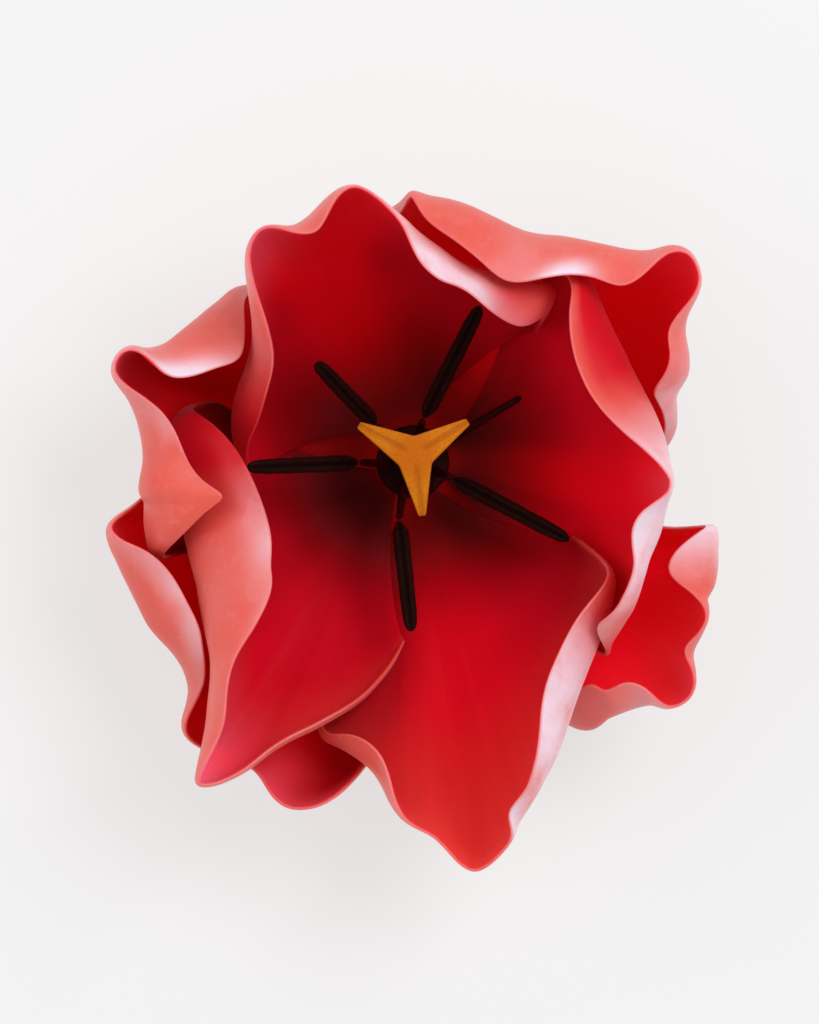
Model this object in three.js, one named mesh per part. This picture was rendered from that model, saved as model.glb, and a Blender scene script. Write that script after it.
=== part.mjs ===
// An open tulip bloom, cut just under its petals and resting face up on the bellies of its outer petals.
// Millimetres, +Z up. Eight petals stand round a short stem end, which carries six stamens (one has shed
// its anther) and a pistil with a three-armed stigma. Every petal is a curved sheet of even thickness.
import * as THREE from 'three';
import { NURBSSurface } from 'three/addons/curves/NURBSSurface.js';

// ---- driving dimensions ----------------------------------------------------------------------------

const SEAT_GAP = 0.3;            // what is left between a piece and the piece that carries it

const PETAL_THICKNESS = 0.8;
const PLY = 1.15;                // how far a petal lies below the one inside it, where they overlap
const PLY_SPREAD = 0.8;          // how much of a ply it also stands further out, at the cup
const ROOT_RADIUS = 5.4;         // where the petals spring from the stem end
const ROOT_HEIGHT = 4.9;         // height of the innermost root
const CLAW_RADIUS = 10.0;        // the narrow foot of a petal
const CLAW_DIP = 1.2;
const SHOULDER_RADIUS = 17.5;    // where the foot has widened and starts to rise
const SHOULDER_DIP = 2.0;
const CUP_RADIUS = 26.0;         // the cup that all the petals share
const CUP_RISE = 7.5;
const ROLL_PULL = 1.75;          // the net stands this much further out than the rolled margin does
const ROLL_ASIDE = 0.6;          // how far the roll turns from the radius towards the rim's own normal
const ROLL_REACH = 3;            // stations either way that the rim's own direction is taken over
const CLAW_TURN = 0.25;          // how far each row has turned from the root to the crest
const SHOULDER_TURN = 0.6;
const CUP_TURN = 0.9;
const SIDE_STEP = 2;             // degrees that the lower rows open by, at least, from station to station
const ACROSS = 31;               // points of a petal's grid from side to side
const ALONG = 14;                // and from root to rim
const SPLINE_DEGREE = 3;

const RECEPTACLE_TOP = 7.0;      // the swelling that the petals spring from
const STEM_SIDES = 40;
const STEM_PROFILE = [           // radius and height, from the middle of the cut end to the top
  [0, 0], [3.6, 0], [3.7, 0.9], [4.6, 1.6], [4.9, 2.4], [4.9, 5.4], [5.8, 6.1],
  [5.8, 6.6], [5.4, RECEPTACLE_TOP], [0, RECEPTACLE_TOP],
];

const FILAMENT_RING = 3.75;      // radius of the ring that the stamens stand on
const FILAMENT_FOOT = 0.85;
const FILAMENT_TIP = 0.5;
const FILAMENT_CLIMB = 0.35;     // share of its height that it climbs straight up from its foot
const FILAMENT_LEAD = 0.6;       // share of the way from which it runs straight to its end
const FILAMENT_BEND = 0.1;       // and how far above that line it starts to
const FILAMENT_SIDES = 10;
const FILAMENT_STEPS = 6;
const ANTHER_HALF_WIDTH = 1.4;
const ANTHER_HALF_DEPTH = 1.05;
const ANTHER_GROOVE = 0.35;      // share of the depth that the lengthwise groove takes
const ANTHER_GROOVE_WIDTH = 0.35;
const ANTHER_BOW = 0.8;
const ANTHER_BLUNTNESS = 8;
const ANTHER_END = 0.3;          // share of the width that is left at either end
const ANTHER_TAPER = 0.15;
const ANTHER_SEAT = 0.6;         // filament tips that the anther starts beyond the knee
const ANTHER_SIDES = 14;
const ANTHER_STEPS = 10;

const OVARY_TOP = 26.0;
const OVARY_RADIUS = 2.15;
const OVARY_SWELL = 0.45;
const OVARY_PHASE = [0.1, 1.15]; // where in half a wave its swelling starts, and how fast it runs through it
const OVARY_SIDES = 24;
const OVARY_STEPS = 8;
const OVARY_RIDGE = 0.1;         // share of the radius that the three corners stand out by
const STIGMA_CENTRE = [0.3, 0.9];
const STIGMA_TOP = 29.3;
const STIGMA_WAIST = 2.9;        // distance from the centre to the corners between the arms
const STIGMA_END = 1.1;          // width of an arm's cut-off end
const STIGMA_DROOP = 0.017;
const STIGMA_DEPTH = 3.0;
const STIGMA_THINNING = 14;      // distance from the centre at which an arm would have no depth left
const STIGMA_RINGS = [0.2, 0.6, 0.94];
const STIGMA_EDGE_SPLITS = 4;

// ---- the petals ------------------------------------------------------------------------------------
// azimuth, spread: direction and half width of the root, in degrees.
// plies: how many petals lie inside this one, at its first and at its last side.
// sag: how much lower its shoulder hangs, at its first and at its last side.
// fullness: share of the way out, and of the way up, from the cup to the crest that the flank reaches.
// rim: stations anticlockwise from one side round the tip to the other. Each is x, y, z of the rim, then
// how far the crest of the rolled margin stands outside the rim, and how far below it.

const PETALS = [
  {
    name: 'petal_top', colour: '#b81428', azimuth: 108, spread: 30, plies: [0, 0], sag: [0, 0],
    fullness: [0.75, 0.45],
    rim: [
      [18.6, 19.6, 21, 0.5, 6], [20.2, 21.6, 31, 1, 6], [19.5, 22.2, 37, 3, 5], [16.8, 19.2, 43, 6, 5],
      [12, 21.6, 46, 4.8, 5], [7.8, 26, 49, 2, 6], [4, 26.4, 52, 3.2, 5], [0.3, 29.6, 54, 2.9, 6],
      [-1, 34.8, 56, 1, 7], [-4.5, 38.5, 57, 0, 6], [-9, 42, 57, 0, 6], [-12, 38.2, 57, 1.8, 6],
      [-14, 32.8, 57, 3.2, 6], [-18.5, 34.2, 55, 0.6, 7], [-22.5, 35.2, 54, 0, 7],
      [-25.3, 31, 53, 0.6, 7], [-22.6, 22.5, 50, 1.6, 8], [-20.4, 15.8, 45, 2.6, 7],
      [-21.9, 10.5, 40, 2.9, 7], [-23.4, 5, 34, 3, 6], [-26.3, 1, 26, 0.5, 6], [-24.3, -4.5, 17, 0.3, 5],
    ],
  },
  {
    name: 'petal_lower_left_inner', colour: '#bc182c', azimuth: 218, spread: 26, plies: [0.92, 0],
    sag: [0, 0], fullness: [0.75, 0.45],
    rim: [
      [-30.4, 9, 18, -0.3, 4], [-35.2, 8.4, 28, 0.2, 5], [-31.5, 6.8, 34, 4, 5],
      [-26.5, 2.2, 39, 8, 6], [-23, -5, 43, 8.5, 6], [-20.8, -11.5, 46, 9, 7], [-21.5, -15.8, 47, 8, 7],
      [-20.6, -19, 48, 8.5, 8], [-23.5, -25, 48, 6, 7], [-26.8, -29.5, 48, 3, 7],
      [-28.2, -34.5, 47, 2.6, 8], [-27.8, -39.5, 46, 3.5, 7], [-31.2, -45.8, 44, 2, 6],
      [-33.2, -49.6, 43, 0.5, 6], [-26, -47.8, 41, 0.6, 6], [-21, -42.6, 38, 0.8, 6],
      [-15, -40, 35, 0.8, 6], [-9.5, -37.4, 31, 0.6, 6], [-5.5, -34, 25, 0.3, 5],
      [-2.8, -30.4, 20, 0.2, 4], [-1.4, -27.6, 14.2, 0, 0.8],
    ],
  },
  {
    name: 'petal_bottom', colour: '#c21c2a', azimuth: 284, spread: 26, plies: [1, 0], sag: [0, 0],
    fullness: [0.55, 0.42],
    rim: [
      [-14, -33.5, 16, 0.5, 2], [-15.2, -42.5, 22.5, 0.5, 4], [-10.6, -40.8, 30, 3.2, 6],
      [-5.7, -42.8, 35, 3.6, 7], [-3.4, -47.5, 36, 2.8, 7], [-2.5, -52.5, 37, 1.4, 7],
      [0, -55.6, 37, 0.4, 7], [3.6, -56.6, 37, 0, 7], [6, -60, 36, 0, 7], [9.4, -63.3, 36, 0, 7],
      [12.8, -60, 37, 0, 7], [15.8, -56.8, 39, 0.3, 7], [13.4, -53, 41, 4, 7], [17.2, -50, 43, 2.4, 8],
      [18.4, -45.5, 45, 3.3, 9], [19.2, -40, 46, 4.8, 9], [19.3, -34.5, 46, 5.6, 9],
      [22, -28.5, 45, 5, 9], [25, -23, 43, 4.4, 8], [30, -17.8, 40, 1.5, 7], [29.8, -15.4, 30, 0.3, 5],
      [24.6, -11.6, 19, 0, 4],
    ],
  },
  {
    name: 'petal_right', colour: '#bc162c', azimuth: 0, spread: 30, plies: [1, 1], sag: [0, 0],
    fullness: [0.75, 0.45],
    rim: [
      [22.2, -24.2, 15.5, -1, 1.6], [29, -29.8, 26, 0.1, 5], [30, -29.4, 35, 0.4, 5],
      [26.6, -24.8, 43.5, 3.6, 6], [29.8, -23.6, 46, 2.2, 7], [31.4, -20.5, 48, 2.2, 7],
      [33.8, -15.5, 49, 1.5, 7], [32, -10.5, 50, 4, 7], [34.5, -7, 51, 3, 7], [39, -5, 51, 0, 7],
      [38.2, -1.5, 51, 1, 7], [33.5, 2.2, 51, 3.6, 7], [29, 6.2, 51, 5.2, 7], [25.2, 11.5, 50, 5.6, 7],
      [23.6, 17, 49, 5, 7], [23.2, 22.5, 48, 4, 7], [24.4, 26.8, 44, 2.5, 6], [22.2, 29.6, 35, 0.5, 5],
      [16.8, 27.9, 22, -1.2, 4],
    ],
  },
  {
    name: 'petal_upper_right', colour: '#cc3a44', azimuth: 48, spread: 28, plies: [2, 2], sag: [1, 1],
    fullness: [0.75, 0.45],
    rim: [
      [34.5, -1, 15, 0.5, 3], [38.6, 2.5, 25, 1.4, 5], [38.4, 7.5, 33, 1.8, 5], [35.6, 10, 39, 3.4, 5],
      [37.6, 12, 41, 3.6, 6], [39, 15.5, 43, 2.6, 6], [37.8, 19.5, 44, 2.8, 6], [41, 23, 45, 1, 6],
      [43.8, 26.5, 45, 0.3, 6], [42, 31.5, 45, 0.5, 6], [38, 31.5, 45, 1.5, 6], [34, 27.2, 46, 4.2, 5],
      [31, 25.6, 46, 5.2, 5], [27.5, 27.4, 46, 4.2, 5], [23, 28, 46, 4.6, 5], [18, 26.8, 46, 5.8, 5],
      [13.6, 26.2, 46, 6.2, 5], [9.8, 30.4, 46, 5, 5], [4.6, 33.9, 46, 4.4, 5], [1.4, 36.2, 46, 3.2, 5],
      [-0.4, 41.2, 44, 0.5, 5], [-1.2, 36.8, 37, 2, 6], [-4.5, 35.5, 26, 2, 6], [-7, 32, 17, 2, 6],
    ],
  },
  {
    name: 'petal_upper_left', colour: '#d2484a', azimuth: 166, spread: 26, plies: [2, 1.87], sag: [1, 0],
    fullness: [0.75, 0.42],
    rim: [
      [-21, 26, 15, 1, 4], [-26, 26.6, 27, 1.2, 5], [-25.4, 22, 36, 3.4, 5], [-25.1, 15, 39, 7.2, 5],
      [-29, 14.2, 40, 6, 5], [-33.5, 12.2, 41, 5, 4], [-37, 12.4, 42, 5.2, 4],
      [-40, 16, 41, 1.9, 5], [-43.4, 17.2, 41, 0.5, 5], [-46, 13.8, 41, 0.6, 5],
      [-42.8, 10.6, 41, 1.4, 5], [-38.4, 8.4, 42, 3.2, 5], [-35.5, 4.6, 43, 4.2, 5],
      [-34.4, 0.5, 43, 5, 5], [-31.5, -3.6, 45, 7.5, 5], [-27.2, -5.4, 46, 9, 5], [-31, -7.4, 44, 7, 5],
      [-34.8, -11.6, 40.5, 4.6, 5], [-38.4, -14.4, 34, 1.6, 5], [-37.8, -15, 26, 0.5, 5],
      [-30.6, -12.4, 17, 0, 2.5],
    ],
  },
  {
    name: 'petal_lower_left_outer', colour: '#cc4246', azimuth: 226, spread: 28, plies: [3, 2], sag: [0, 0.6],
    fullness: [0.72, 0.42],
    rim: [
      [-37, -1, 13, -1.2, 1.4], [-41.5, -5.8, 23, 0.5, 4], [-42.8, -7.6, 31, 0.5, 5],
      [-47, -9.8, 34, 0.6, 5], [-44, -12.4, 35, 2.6, 5], [-39.8, -13.6, 36, 4.8, 5],
      [-36.4, -17, 36, 5.8, 5], [-34, -21.5, 37, 6, 5], [-31.9, -25.4, 37, 5, 5],
      [-31.7, -28.9, 37, 3.7, 5], [-31.1, -33.5, 36, 2.8, 5], [-33.2, -37, 34, 1.8, 5],
      [-35.4, -41.5, 31, 0.6, 5], [-31.5, -44, 28, 0.5, 4], [-27.5, -45.5, 26, 0.5, 4],
      [-23.5, -46.6, 27, 0.5, 4], [-21.8, -50.4, 30, 0.3, 5], [-19, -53.4, 31, 0.3, 5],
      [-13.5, -52.4, 31, 0.3, 5], [-9.8, -49.5, 28, 0.3, 5], [-6.8, -45.5, 22.5, 0.5, 5],
      [-2.6, -40, 15.5, 0, 2.4], [0.4, -32.5, 10.5, -0.5, 0.2],
    ],
  },
  {
    name: 'petal_lower_right', colour: '#c83640', azimuth: 322, spread: 26, plies: [2, 2], sag: [1, 1],
    fullness: [0.70, 0.42],
    rim: [
      [17.2, -34.2, 12.5, 0, 1], [21, -37.2, 21, 1.4, 5], [24, -36.6, 28, 5.4, 5],
      [26.8, -33, 32, 6.2, 5], [29, -35.6, 33, 3.4, 5], [32, -33, 34, 4.6, 5], [35.5, -34.4, 34, 3, 5],
      [38.5, -38.2, 33, 0.3, 5], [42.5, -36, 33, 0.3, 5], [43, -31.8, 34, 0.5, 5],
      [40.2, -28.4, 35, 2.5, 5], [43.8, -26, 36, 0.5, 5], [45, -22.8, 37, 0.5, 5], [42, -19.6, 38, 3, 4],
      [37.5, -17, 39, 7.6, 4], [39.8, -12.8, 38, 6, 4], [45.8, -9.4, 37, 2, 4], [42.3, -10.4, 31, 1, 5],
      [37.4, -10.6, 23, 0.2, 5], [31.8, -8.6, 14, 0, 1.6],
    ],
  },
];

// ---- the stamens and the stigma --------------------------------------------------------------------
// knee: where the filament ends; tip: the far end of the anther, or null where the anther is gone.

const STAMENS = [
  { name: 'upper_left', azimuth: 136, knee: [-5.4, 5.3, 17.0], tip: [-14.7, 14.9, 29.0] },
  { name: 'top', azimuth: 76, knee: [1.5, 6.2, 16.0], tip: [10.3, 23.6, 25.0] },
  { name: 'right', azimuth: 30, knee: [16.6, 9.8, 18.5], tip: null },
  { name: 'lower_right', azimuth: 336, knee: [5.7, -2.4, 15.5], tip: [23.9, -12.1, 22.0] },
  { name: 'bottom', azimuth: 248, knee: [-2.1, -8.7, 16.0], tip: [-0.2, -26.0, 25.0] },
  { name: 'left', azimuth: 184, knee: [-7.9, -0.2, 16.0], tip: [-25.2, -1.0, 28.5] },
];

const STIGMA_ARMS = [
  { azimuth: 32, length: 9.6 },
  { azimuth: 152, length: 9.7 },
  { azimuth: 277, length: 9.4 },
];

const COLOURS = {
  stem: '#7d8f4a',
  filament: '#2a070c',
  anther: '#17090b',
  ovary: '#8d8a3c',
  stigma: '#dc9a14',
};

// ---- general helpers -------------------------------------------------------------------------------

const range = (count) => Array.from({ length: count }, (_, i) => i);
const share = (i, count) => i / (count - 1);
const radians = THREE.MathUtils.degToRad;
const polar = (radius, angle, z) => new THREE.Vector3(radius * Math.cos(angle), radius * Math.sin(angle), z);

function indexedGeometry(points, faces) {
  const geometry = new THREE.BufferGeometry();
  geometry.setAttribute('position', new THREE.Float32BufferAttribute(points.flatMap((p) => p.toArray()), 3));
  geometry.setIndex(faces.flat());
  geometry.computeVertexNormals();
  return geometry;
}

// Closed body through a stack of rings with equal counts, each end closed by a fan round its centre.
// The rings run anticlockwise seen from the last one.
function ringBody(rings) {
  const sides = rings[0].length;
  const points = rings.flat();
  const faces = [];
  for (const k of range(rings.length - 1)) {
    for (const i of range(sides)) {
      const [a, b] = [k * sides + i, k * sides + (i + 1) % sides];
      faces.push([a, b, b + sides], [a, b + sides, a + sides]);
    }
  }
  for (const [start, flip] of [[0, true], [(rings.length - 1) * sides, false]]) {
    const centre = new THREE.Vector3();
    range(sides).forEach((i) => centre.addScaledVector(points[start + i], 1 / sides));
    points.push(centre);
    for (const i of range(sides)) {
      const [a, b] = [start + i, start + (i + 1) % sides];
      faces.push(flip ? [b, a, points.length - 1] : [a, b, points.length - 1]);
    }
  }
  return indexedGeometry(points, faces);
}

// ---- petals ----------------------------------------------------------------------------------------

// Directions of the lower rows, which follow the crest as far as the petal's two sides leave them room.
function openedAngles(angles) {
  const step = radians(SIDE_STEP);
  const last = angles.length - 1;
  const [up, down] = [[...angles], [...angles]];
  for (const i of range(last)) {
    up[i + 1] = Math.max(up[i + 1], up[i] + step);
    down[last - 1 - i] = Math.min(down[last - 1 - i], down[last - i] - step);
  }
  return angles.map((_, i) => (i <= last / 2 ? up[i] : down[i]));
}

// Rows of control points from the root to the rim, one column for each station of the rim.
function controlNet(petal) {
  const count = petal.rim.length;
  const plan = petal.rim.map(([x, y]) => new THREE.Vector2(x, y));
  const crests = petal.rim.map(([x, y, z, roll, drop], i) => {
    const run = plan[Math.min(i + ROLL_REACH, count - 1)].clone().sub(plan[Math.max(i - ROLL_REACH, 0)]);
    const aside = new THREE.Vector2(run.y, -run.x).normalize();
    const away = plan[i].clone().normalize().addScaledVector(aside, ROLL_ASIDE).normalize();
    return new THREE.Vector3(x + away.x * ROLL_PULL * roll, y + away.y * ROLL_PULL * roll, z - drop);
  });
  const crestAngles = crests.map((crest) => Math.atan2(crest.y, crest.x));
  for (const i of range(count - 1)) {
    const turn = crestAngles[i + 1] - crestAngles[i];
    crestAngles[i + 1] -= 2 * Math.PI * Math.round(turn / (2 * Math.PI));
  }
  const meanAngle = crestAngles.reduce((sum, angle) => sum + angle, 0) / count;
  const laps = Math.round((meanAngle - radians(petal.azimuth)) / (2 * Math.PI));
  const lowerAngles = openedAngles(crestAngles);
  const [fullOut, fullUp] = petal.fullness;
  return petal.rim.map(([x, y, z], i) => {
    const s = share(i, count);
    const ply = PLY * THREE.MathUtils.lerp(...petal.plies, s);
    const sag = THREE.MathUtils.lerp(...petal.sag, s);
    const rootAngle = radians(petal.azimuth + petal.spread * (2 * s - 1)) + 2 * Math.PI * laps;
    const angleAt = (turn) => THREE.MathUtils.lerp(rootAngle, lowerAngles[i], turn);
    const crestRadius = Math.hypot(crests[i].x, crests[i].y);
    const rootZ = ROOT_HEIGHT - ply;
    const cupRadius = CUP_RADIUS + PLY_SPREAD * ply;
    const cupZ = rootZ + CUP_RISE;
    const flankRadius = THREE.MathUtils.lerp(cupRadius, crestRadius, fullOut);
    const flankZ = THREE.MathUtils.lerp(cupZ, crests[i].z, fullUp);
    return [
      polar(ROOT_RADIUS, angleAt(0), rootZ),
      polar(CLAW_RADIUS, angleAt(CLAW_TURN), rootZ - CLAW_DIP - sag),
      polar(SHOULDER_RADIUS + ply / 2, angleAt(SHOULDER_TURN), rootZ - SHOULDER_DIP - 2 * sag),
      polar(cupRadius, angleAt(CUP_TURN), cupZ),
      polar(flankRadius, angleAt(1), flankZ),
      crests[i],
      new THREE.Vector3(x, y, z),
    ];
  });
}

function clampedKnots(count) {
  const inner = range(count - SPLINE_DEGREE + 1).map((i) => i / (count - SPLINE_DEGREE));
  const ends = Array(SPLINE_DEGREE).fill(0);
  return [...ends, ...inner, ...ends.map(() => 1)];
}

// Middle sheet of a petal: grid[v][u] from root to rim and from side to side. Where it would dip
// through the ground, it lies flat on it.
function petalSheet(petal) {
  const net = controlNet(petal).map((column) => column.map((p) => new THREE.Vector4(p.x, p.y, p.z, 1)));
  const knots = [clampedKnots(net.length), clampedKnots(net[0].length)];
  const surface = new NURBSSurface(SPLINE_DEGREE, SPLINE_DEGREE, ...knots, net);
  return range(ALONG).map((v) => range(ACROSS).map((u) => {
    const point = new THREE.Vector3();
    surface.getPoint(share(u, ACROSS), share(v, ALONG), point);
    point.z = Math.max(point.z, PETAL_THICKNESS / 2);
    return point;
  }));
}

function sheetNormal(grid, v, u) {
  const clamp = THREE.MathUtils.clamp;
  const pick = (row, column) => grid[clamp(row, 0, ALONG - 1)][clamp(column, 0, ACROSS - 1)];
  const across = pick(v, u + 1).clone().sub(pick(v, u - 1));
  const along = pick(v + 1, u).clone().sub(pick(v - 1, u));
  return across.cross(along).normalize();
}

// Both faces of the sheet carry the same triangles, and a strip closes the edge all round.
function petalGeometry(petal) {
  const grid = petalSheet(petal);
  const faceOffset = (half) => grid.flatMap((row, v) => row.map((point, u) => (
    point.clone().addScaledVector(sheetNormal(grid, v, u), half)
  )));
  const points = [...faceOffset(PETAL_THICKNESS / 2), ...faceOffset(-PETAL_THICKNESS / 2)];
  const under = ALONG * ACROSS;
  const faces = [];
  for (const v of range(ALONG - 1)) {
    for (const u of range(ACROSS - 1)) {
      const [a, b] = [v * ACROSS + u, v * ACROSS + u + 1];
      const [c, d] = [b + ACROSS, a + ACROSS];
      faces.push([a, b, c], [a, c, d], [a + under, c + under, b + under], [a + under, d + under, c + under]);
    }
  }
  const border = [
    ...range(ACROSS - 1),
    ...range(ALONG - 1).map((v) => v * ACROSS + ACROSS - 1),
    ...range(ACROSS - 1).map((u) => ALONG * ACROSS - 1 - u),
    ...range(ALONG - 1).map((v) => (ALONG - 1 - v) * ACROSS),
  ];
  border.forEach((a, i) => {
    const b = border[(i + 1) % border.length];
    faces.push([a, a + under, b + under], [a, b + under, b]);
  });
  return indexedGeometry(points, faces);
}

// ---- stem end, stamens, pistil ---------------------------------------------------------------------

function stemEndGeometry() {
  const profile = STEM_PROFILE.map(([radius, z]) => new THREE.Vector2(radius, z));
  return new THREE.LatheGeometry(profile, STEM_SIDES).rotateX(Math.PI / 2);
}

// Rings across a curve, each an outline given in half widths: first level, then square to it.
function sweptRings(curve, stations, sides, outline) {
  const run = curve.getPoint(1).sub(curve.getPoint(0));
  const level = new THREE.Vector3(run.y, -run.x, 0).normalize();
  return stations.map((t) => {
    const centre = curve.getPoint(t);
    const square = level.clone().cross(curve.getTangent(t)).normalize();
    return range(sides).map((i) => {
      const [w, h] = outline(2 * Math.PI * i / sides, t);
      return centre.clone().addScaledVector(level, w).addScaledVector(square, -h);
    });
  });
}

function filamentGeometry(stamen) {
  const foot = polar(FILAMENT_RING, radians(stamen.azimuth), RECEPTACLE_TOP + SEAT_GAP);
  const knee = new THREE.Vector3(...stamen.knee);
  const rise = new THREE.Vector3(0, 0, knee.z - foot.z);
  const afterFoot = foot.clone().addScaledVector(rise, FILAMENT_CLIMB);
  const beforeKnee = foot.clone().lerp(knee, FILAMENT_LEAD).addScaledVector(rise, FILAMENT_BEND);
  const curve = new THREE.CubicBezierCurve3(foot, afterFoot, beforeKnee, knee);
  const stations = range(FILAMENT_STEPS + 1).map((k) => k / FILAMENT_STEPS);
  return ringBody(sweptRings(curve, stations, FILAMENT_SIDES, (angle, t) => {
    const radius = THREE.MathUtils.lerp(FILAMENT_FOOT, FILAMENT_TIP, t);
    return [radius * Math.cos(angle), radius * Math.sin(angle)];
  }));
}

// Two lobes side by side with a groove along the top and the underside, blunt at both ends.
function antherGeometry(stamen) {
  const knee = new THREE.Vector3(...stamen.knee);
  const tip = new THREE.Vector3(...stamen.tip);
  const onward = tip.clone().sub(knee).normalize();
  const start = knee.clone().addScaledVector(onward, SEAT_GAP + ANTHER_SEAT * FILAMENT_TIP);
  const middle = start.clone().lerp(tip, 0.5);
  middle.z += ANTHER_BOW;
  const curve = new THREE.QuadraticBezierCurve3(start, middle, tip);
  const stations = range(ANTHER_STEPS + 1).map((k) => (1 - Math.cos(Math.PI * k / ANTHER_STEPS)) / 2);
  return ringBody(sweptRings(curve, stations, ANTHER_SIDES, (angle, t) => {
    const rounded = Math.sqrt(1 - Math.abs(2 * t - 1) ** ANTHER_BLUNTNESS);
    const taper = Math.max(ANTHER_END, rounded) * (1 - ANTHER_TAPER * t);
    const groove = 1 - ANTHER_GROOVE * Math.exp(-((Math.cos(angle) / ANTHER_GROOVE_WIDTH) ** 2));
    const [w, h] = [ANTHER_HALF_WIDTH * taper, ANTHER_HALF_DEPTH * taper * groove];
    return [w * Math.cos(angle), h * Math.sin(angle)];
  }));
}

// Three-cornered column, fullest a third of the way up, its corners under the arms of the stigma.
function ovaryGeometry() {
  const foot = RECEPTACLE_TOP + SEAT_GAP;
  const [phaseStart, phaseRate] = OVARY_PHASE;
  const rings = range(OVARY_STEPS + 1).map((k) => {
    const t = k / OVARY_STEPS;
    const radius = OVARY_RADIUS + OVARY_SWELL * Math.sin(Math.PI * Math.min(1, phaseStart + phaseRate * t));
    const lean = new THREE.Vector3(STIGMA_CENTRE[0] * t, STIGMA_CENTRE[1] * t, 0);
    return range(OVARY_SIDES).map((i) => {
      const angle = 2 * Math.PI * i / OVARY_SIDES;
      const ridge = 1 + OVARY_RIDGE * Math.cos(3 * (angle - radians(STIGMA_ARMS[0].azimuth)));
      return polar(radius * ridge, angle, THREE.MathUtils.lerp(foot, OVARY_TOP, t)).add(lean);
    });
  });
  return ringBody(rings);
}

// Outline of the star: two corners at the end of each arm and one between each two arms, edges split evenly.
function stigmaOutline() {
  const corners = STIGMA_ARMS.flatMap((arm, k) => {
    const next = STIGMA_ARMS[(k + 1) % STIGMA_ARMS.length];
    const gap = THREE.MathUtils.euclideanModulo(next.azimuth - arm.azimuth, 360);
    const spread = STIGMA_END / 2 / arm.length;
    return [
      polar(arm.length, radians(arm.azimuth) - spread, 0),
      polar(arm.length, radians(arm.azimuth) + spread, 0),
      polar(STIGMA_WAIST, radians(arm.azimuth + gap / 2), 0),
    ];
  });
  return corners.flatMap((corner, k) => {
    const next = corners[(k + 1) % corners.length];
    const splits = k % 3 === 0 ? 1 : STIGMA_EDGE_SPLITS;
    return range(splits).map((i) => corner.clone().lerp(next, i / splits));
  });
}

// Flat-topped star: thick in the middle, its arms thinning and drooping a little towards their ends.
function stigmaGeometry() {
  const outline = stigmaOutline();
  const topAt = (radius) => STIGMA_TOP - STIGMA_DROOP * radius ** 2;
  const depthAt = (radius) => STIGMA_DEPTH * (1 - radius / STIGMA_THINNING);
  const ring = (scale, heightAt) => outline.map((corner) => {
    const radius = scale * corner.length();
    const point = corner.clone().multiplyScalar(scale).setZ(heightAt(radius));
    return point.add(new THREE.Vector3(...STIGMA_CENTRE, 0));
  });
  const under = (radius) => topAt(radius) - depthAt(radius);
  const [inner, middle, outer] = STIGMA_RINGS;
  return ringBody([
    ring(inner, under), ring(middle, under), ring(outer, under),
    ring(1, topAt), ring(middle, topAt), ring(inner, topAt),
  ]);
}

// ---- the bloom -------------------------------------------------------------------------------------

const bloom = new THREE.Group();

function addPiece(name, geometry, colour, roughness) {
  const material = new THREE.MeshStandardMaterial({ color: colour, roughness, metalness: 0 });
  const mesh = new THREE.Mesh(geometry, material);
  mesh.name = name;
  bloom.add(mesh);
}

addPiece('stem_end', stemEndGeometry(), COLOURS.stem, 0.7);
for (const petal of PETALS) {
  addPiece(petal.name, petalGeometry(petal), petal.colour, 0.5);
}
for (const stamen of STAMENS) {
  addPiece(`filament_${stamen.name}`, filamentGeometry(stamen), COLOURS.filament, 0.6);
  if (stamen.tip) {
    addPiece(`anther_${stamen.name}`, antherGeometry(stamen), COLOURS.anther, 0.8);
  }
}
addPiece('ovary', ovaryGeometry(), COLOURS.ovary, 0.6);
addPiece('stigma', stigmaGeometry(), COLOURS.stigma, 0.7);

// The origin is under the middle of the whole bloom, on the ground.
const extent = new THREE.Box3().setFromObject(bloom);
const middle = extent.getCenter(new THREE.Vector3());
bloom.position.set(-middle.x, -middle.y, -extent.min.z);

export default bloom;
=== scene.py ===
"""An open tulip bloom: eight waved petals round six stamens and a three-armed stigma, on a short stem end.

Every piece is a surface worked out on a grid and set over the CAD frame, which stays as it is.
"""
import math

import bpy
import numpy as np
from bpy.props import FloatProperty, FloatVectorProperty, IntProperty, PointerProperty
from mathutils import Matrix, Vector


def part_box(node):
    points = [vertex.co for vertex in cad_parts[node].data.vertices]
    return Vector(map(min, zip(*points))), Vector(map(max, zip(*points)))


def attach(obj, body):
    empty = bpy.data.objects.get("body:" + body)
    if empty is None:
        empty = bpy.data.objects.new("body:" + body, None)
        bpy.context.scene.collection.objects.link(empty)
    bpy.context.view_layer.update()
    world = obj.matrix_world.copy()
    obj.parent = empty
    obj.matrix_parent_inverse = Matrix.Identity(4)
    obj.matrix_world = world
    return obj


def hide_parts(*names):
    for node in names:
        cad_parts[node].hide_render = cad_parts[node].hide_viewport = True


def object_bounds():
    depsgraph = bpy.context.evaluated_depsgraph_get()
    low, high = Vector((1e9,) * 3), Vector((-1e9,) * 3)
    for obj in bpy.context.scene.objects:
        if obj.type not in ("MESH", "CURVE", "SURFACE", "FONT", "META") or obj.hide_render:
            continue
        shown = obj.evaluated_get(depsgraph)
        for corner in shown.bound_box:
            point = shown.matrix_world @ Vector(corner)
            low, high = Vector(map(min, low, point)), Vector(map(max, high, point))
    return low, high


bl_info = {
    "name": "Tulip Bloom",
    "version": (1, 0, 0),
    "blender": (4, 5, 0),
    "location": "3D View > Sidebar > Tulip",
    "description": "Builds an open tulip bloom with its petals, stamens, pistil, stem end and stage",
    "category": "Add Mesh",
}

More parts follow.
